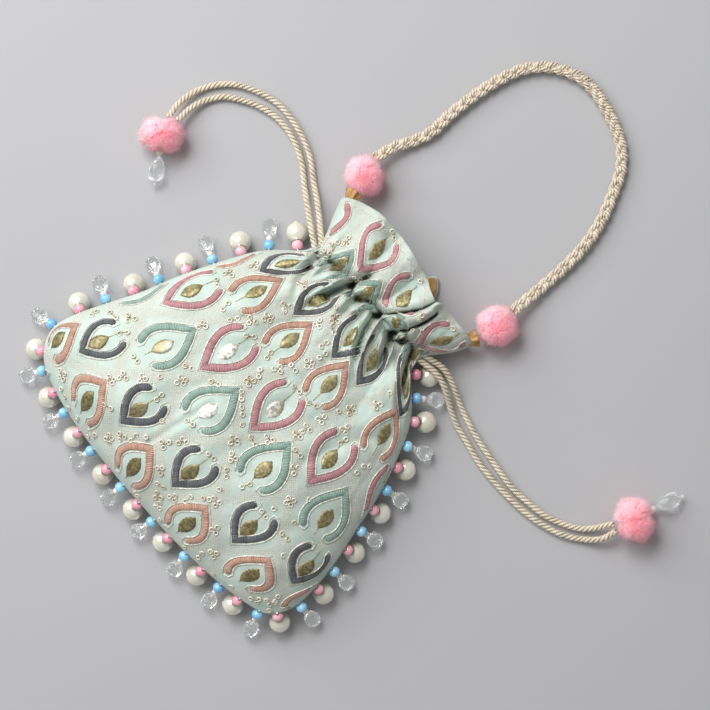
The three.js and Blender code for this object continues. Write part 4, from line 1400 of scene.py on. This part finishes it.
def add_tabs(finish):
    """A bunched satin tab between each top corner of the frill and its pompom."""
    for side in ("left", "right"):
        node = f"handle_tab_{side}"
        low, high = (np.array(corner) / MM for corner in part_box(node))
        away = -1 if side == "left" else 1
        middle, reach = (low + high) / 2 - [4 * away, 1.5 * away, -1.5], (high - low).max() / 2
        axis = unit(np.array([away * math.sin(math.radians(24)), math.cos(math.radians(24)), 0.0]))
        level = np.cross(axis, [0.0, 0.0, 1.0])
        turns = np.linspace(0, 2 * math.pi, 49)[:-1]
        shape = Shape()
        rows = []
        for share in np.linspace(-1, 1, 19):
            girth = reach * (1.2 + 0.42 * share) * (1.02 - abs(share) ** 9) ** 0.5
            folds = 1 + 0.16 * np.sin(6 * turns + 0.8 * share) + 0.1 * np.sin(11 * turns - share)
            ring = 1.2 * np.cos(turns)[:, None] * level + 0.85 * np.sin(turns)[:, None] * [0, 0, 1]
            rows.append(middle + axis * share * reach * 1.6 + ring * (girth * folds)[:, None])
        faces = grid_faces(len(rows), len(turns), wrap=True)
        shape.add(np.array(rows), faces[:, ::-1])
        last = (len(rows) - 1) * len(turns)
        shape.close([list(range(len(turns))), list(range(last + len(turns) - 1, last - 1, -1))])
        add_piece(node + "_bunched", shape, finish, [node])


# Floor, light and camera

def add_floor():
    bpy.ops.object.select_all(action="DESELECT")
    bpy.ops.mesh.primitive_plane_add(size=6, location=(0, 0, -0.0004))
    floor = bpy.context.object
    floor.name = "floor"
    floor.data.materials.append(make_floor_finish())


def add_light(name, place, power, size):
    """A round soft lamp at a place in metres, turned towards the middle of the bag and its cords."""
    data = bpy.data.lights.new(name, "AREA")
    data.shape = "DISK"
    data.size = size
    data.energy = power
    lamp = bpy.data.objects.new(name, data)
    lamp.location = place
    lamp.rotation_euler = (Vector((0.0, 0.07, 0.0)) - place).to_track_quat("-Z", "Y").to_euler()
    bpy.context.scene.collection.objects.link(lamp)


def add_lights():
    turn = Matrix.Rotation(math.radians(VIEW_TURN), 3, "Z")
    add_light("soft_window", turn @ Vector((-0.8, 0.8, 1.1)), 25, 1.7)
    add_light("small_lamp", turn @ Vector((-0.25, 0.85, 1.2)), 8, 0.6)
    world = bpy.data.worlds.new("studio")
    world.use_nodes = True
    sky = world.node_tree.nodes["Background"]
    sky.inputs["Color"].default_value = linear("#f2f2f2")
    sky.inputs["Strength"].default_value = 0.34
    bpy.context.scene.world = world
    bpy.context.scene.view_settings.view_transform = "Standard"


def add_camera():
    data = bpy.data.cameras.new("camera")
    data.lens = data.sensor_width * CAMERA_DISTANCE / (PHOTO_PIXELS * PIXEL_MM)
    data.clip_end = 20
    camera = bpy.data.objects.new("camera", data)
    camera.location = Vector((*VIEW_CENTRE, VIEW_HEIGHT + CAMERA_DISTANCE)) * MM
    camera.rotation_euler = (0, 0, math.radians(VIEW_TURN))
    bpy.context.scene.collection.objects.link(camera)
    bpy.context.scene.camera = camera


add_camera()
add_lights()
add_floor()

yarn = make_yarn()
pompoms = [add_pompom(name, yarn, seed) for seed, name in enumerate(POMPOMS, 11)]
add_drops()
add_handle(make_cord_thread("plaited_rayon", "#6f5a44", "#eadcc6"))
add_strands(make_cord_thread("twisted_rayon", "#5f4d38", "#ecdfc6"))
satin = make_lining_satin()
add_tabs(satin)
add_lining(satin)
add_embroidery(add_pouch(make_silk()))
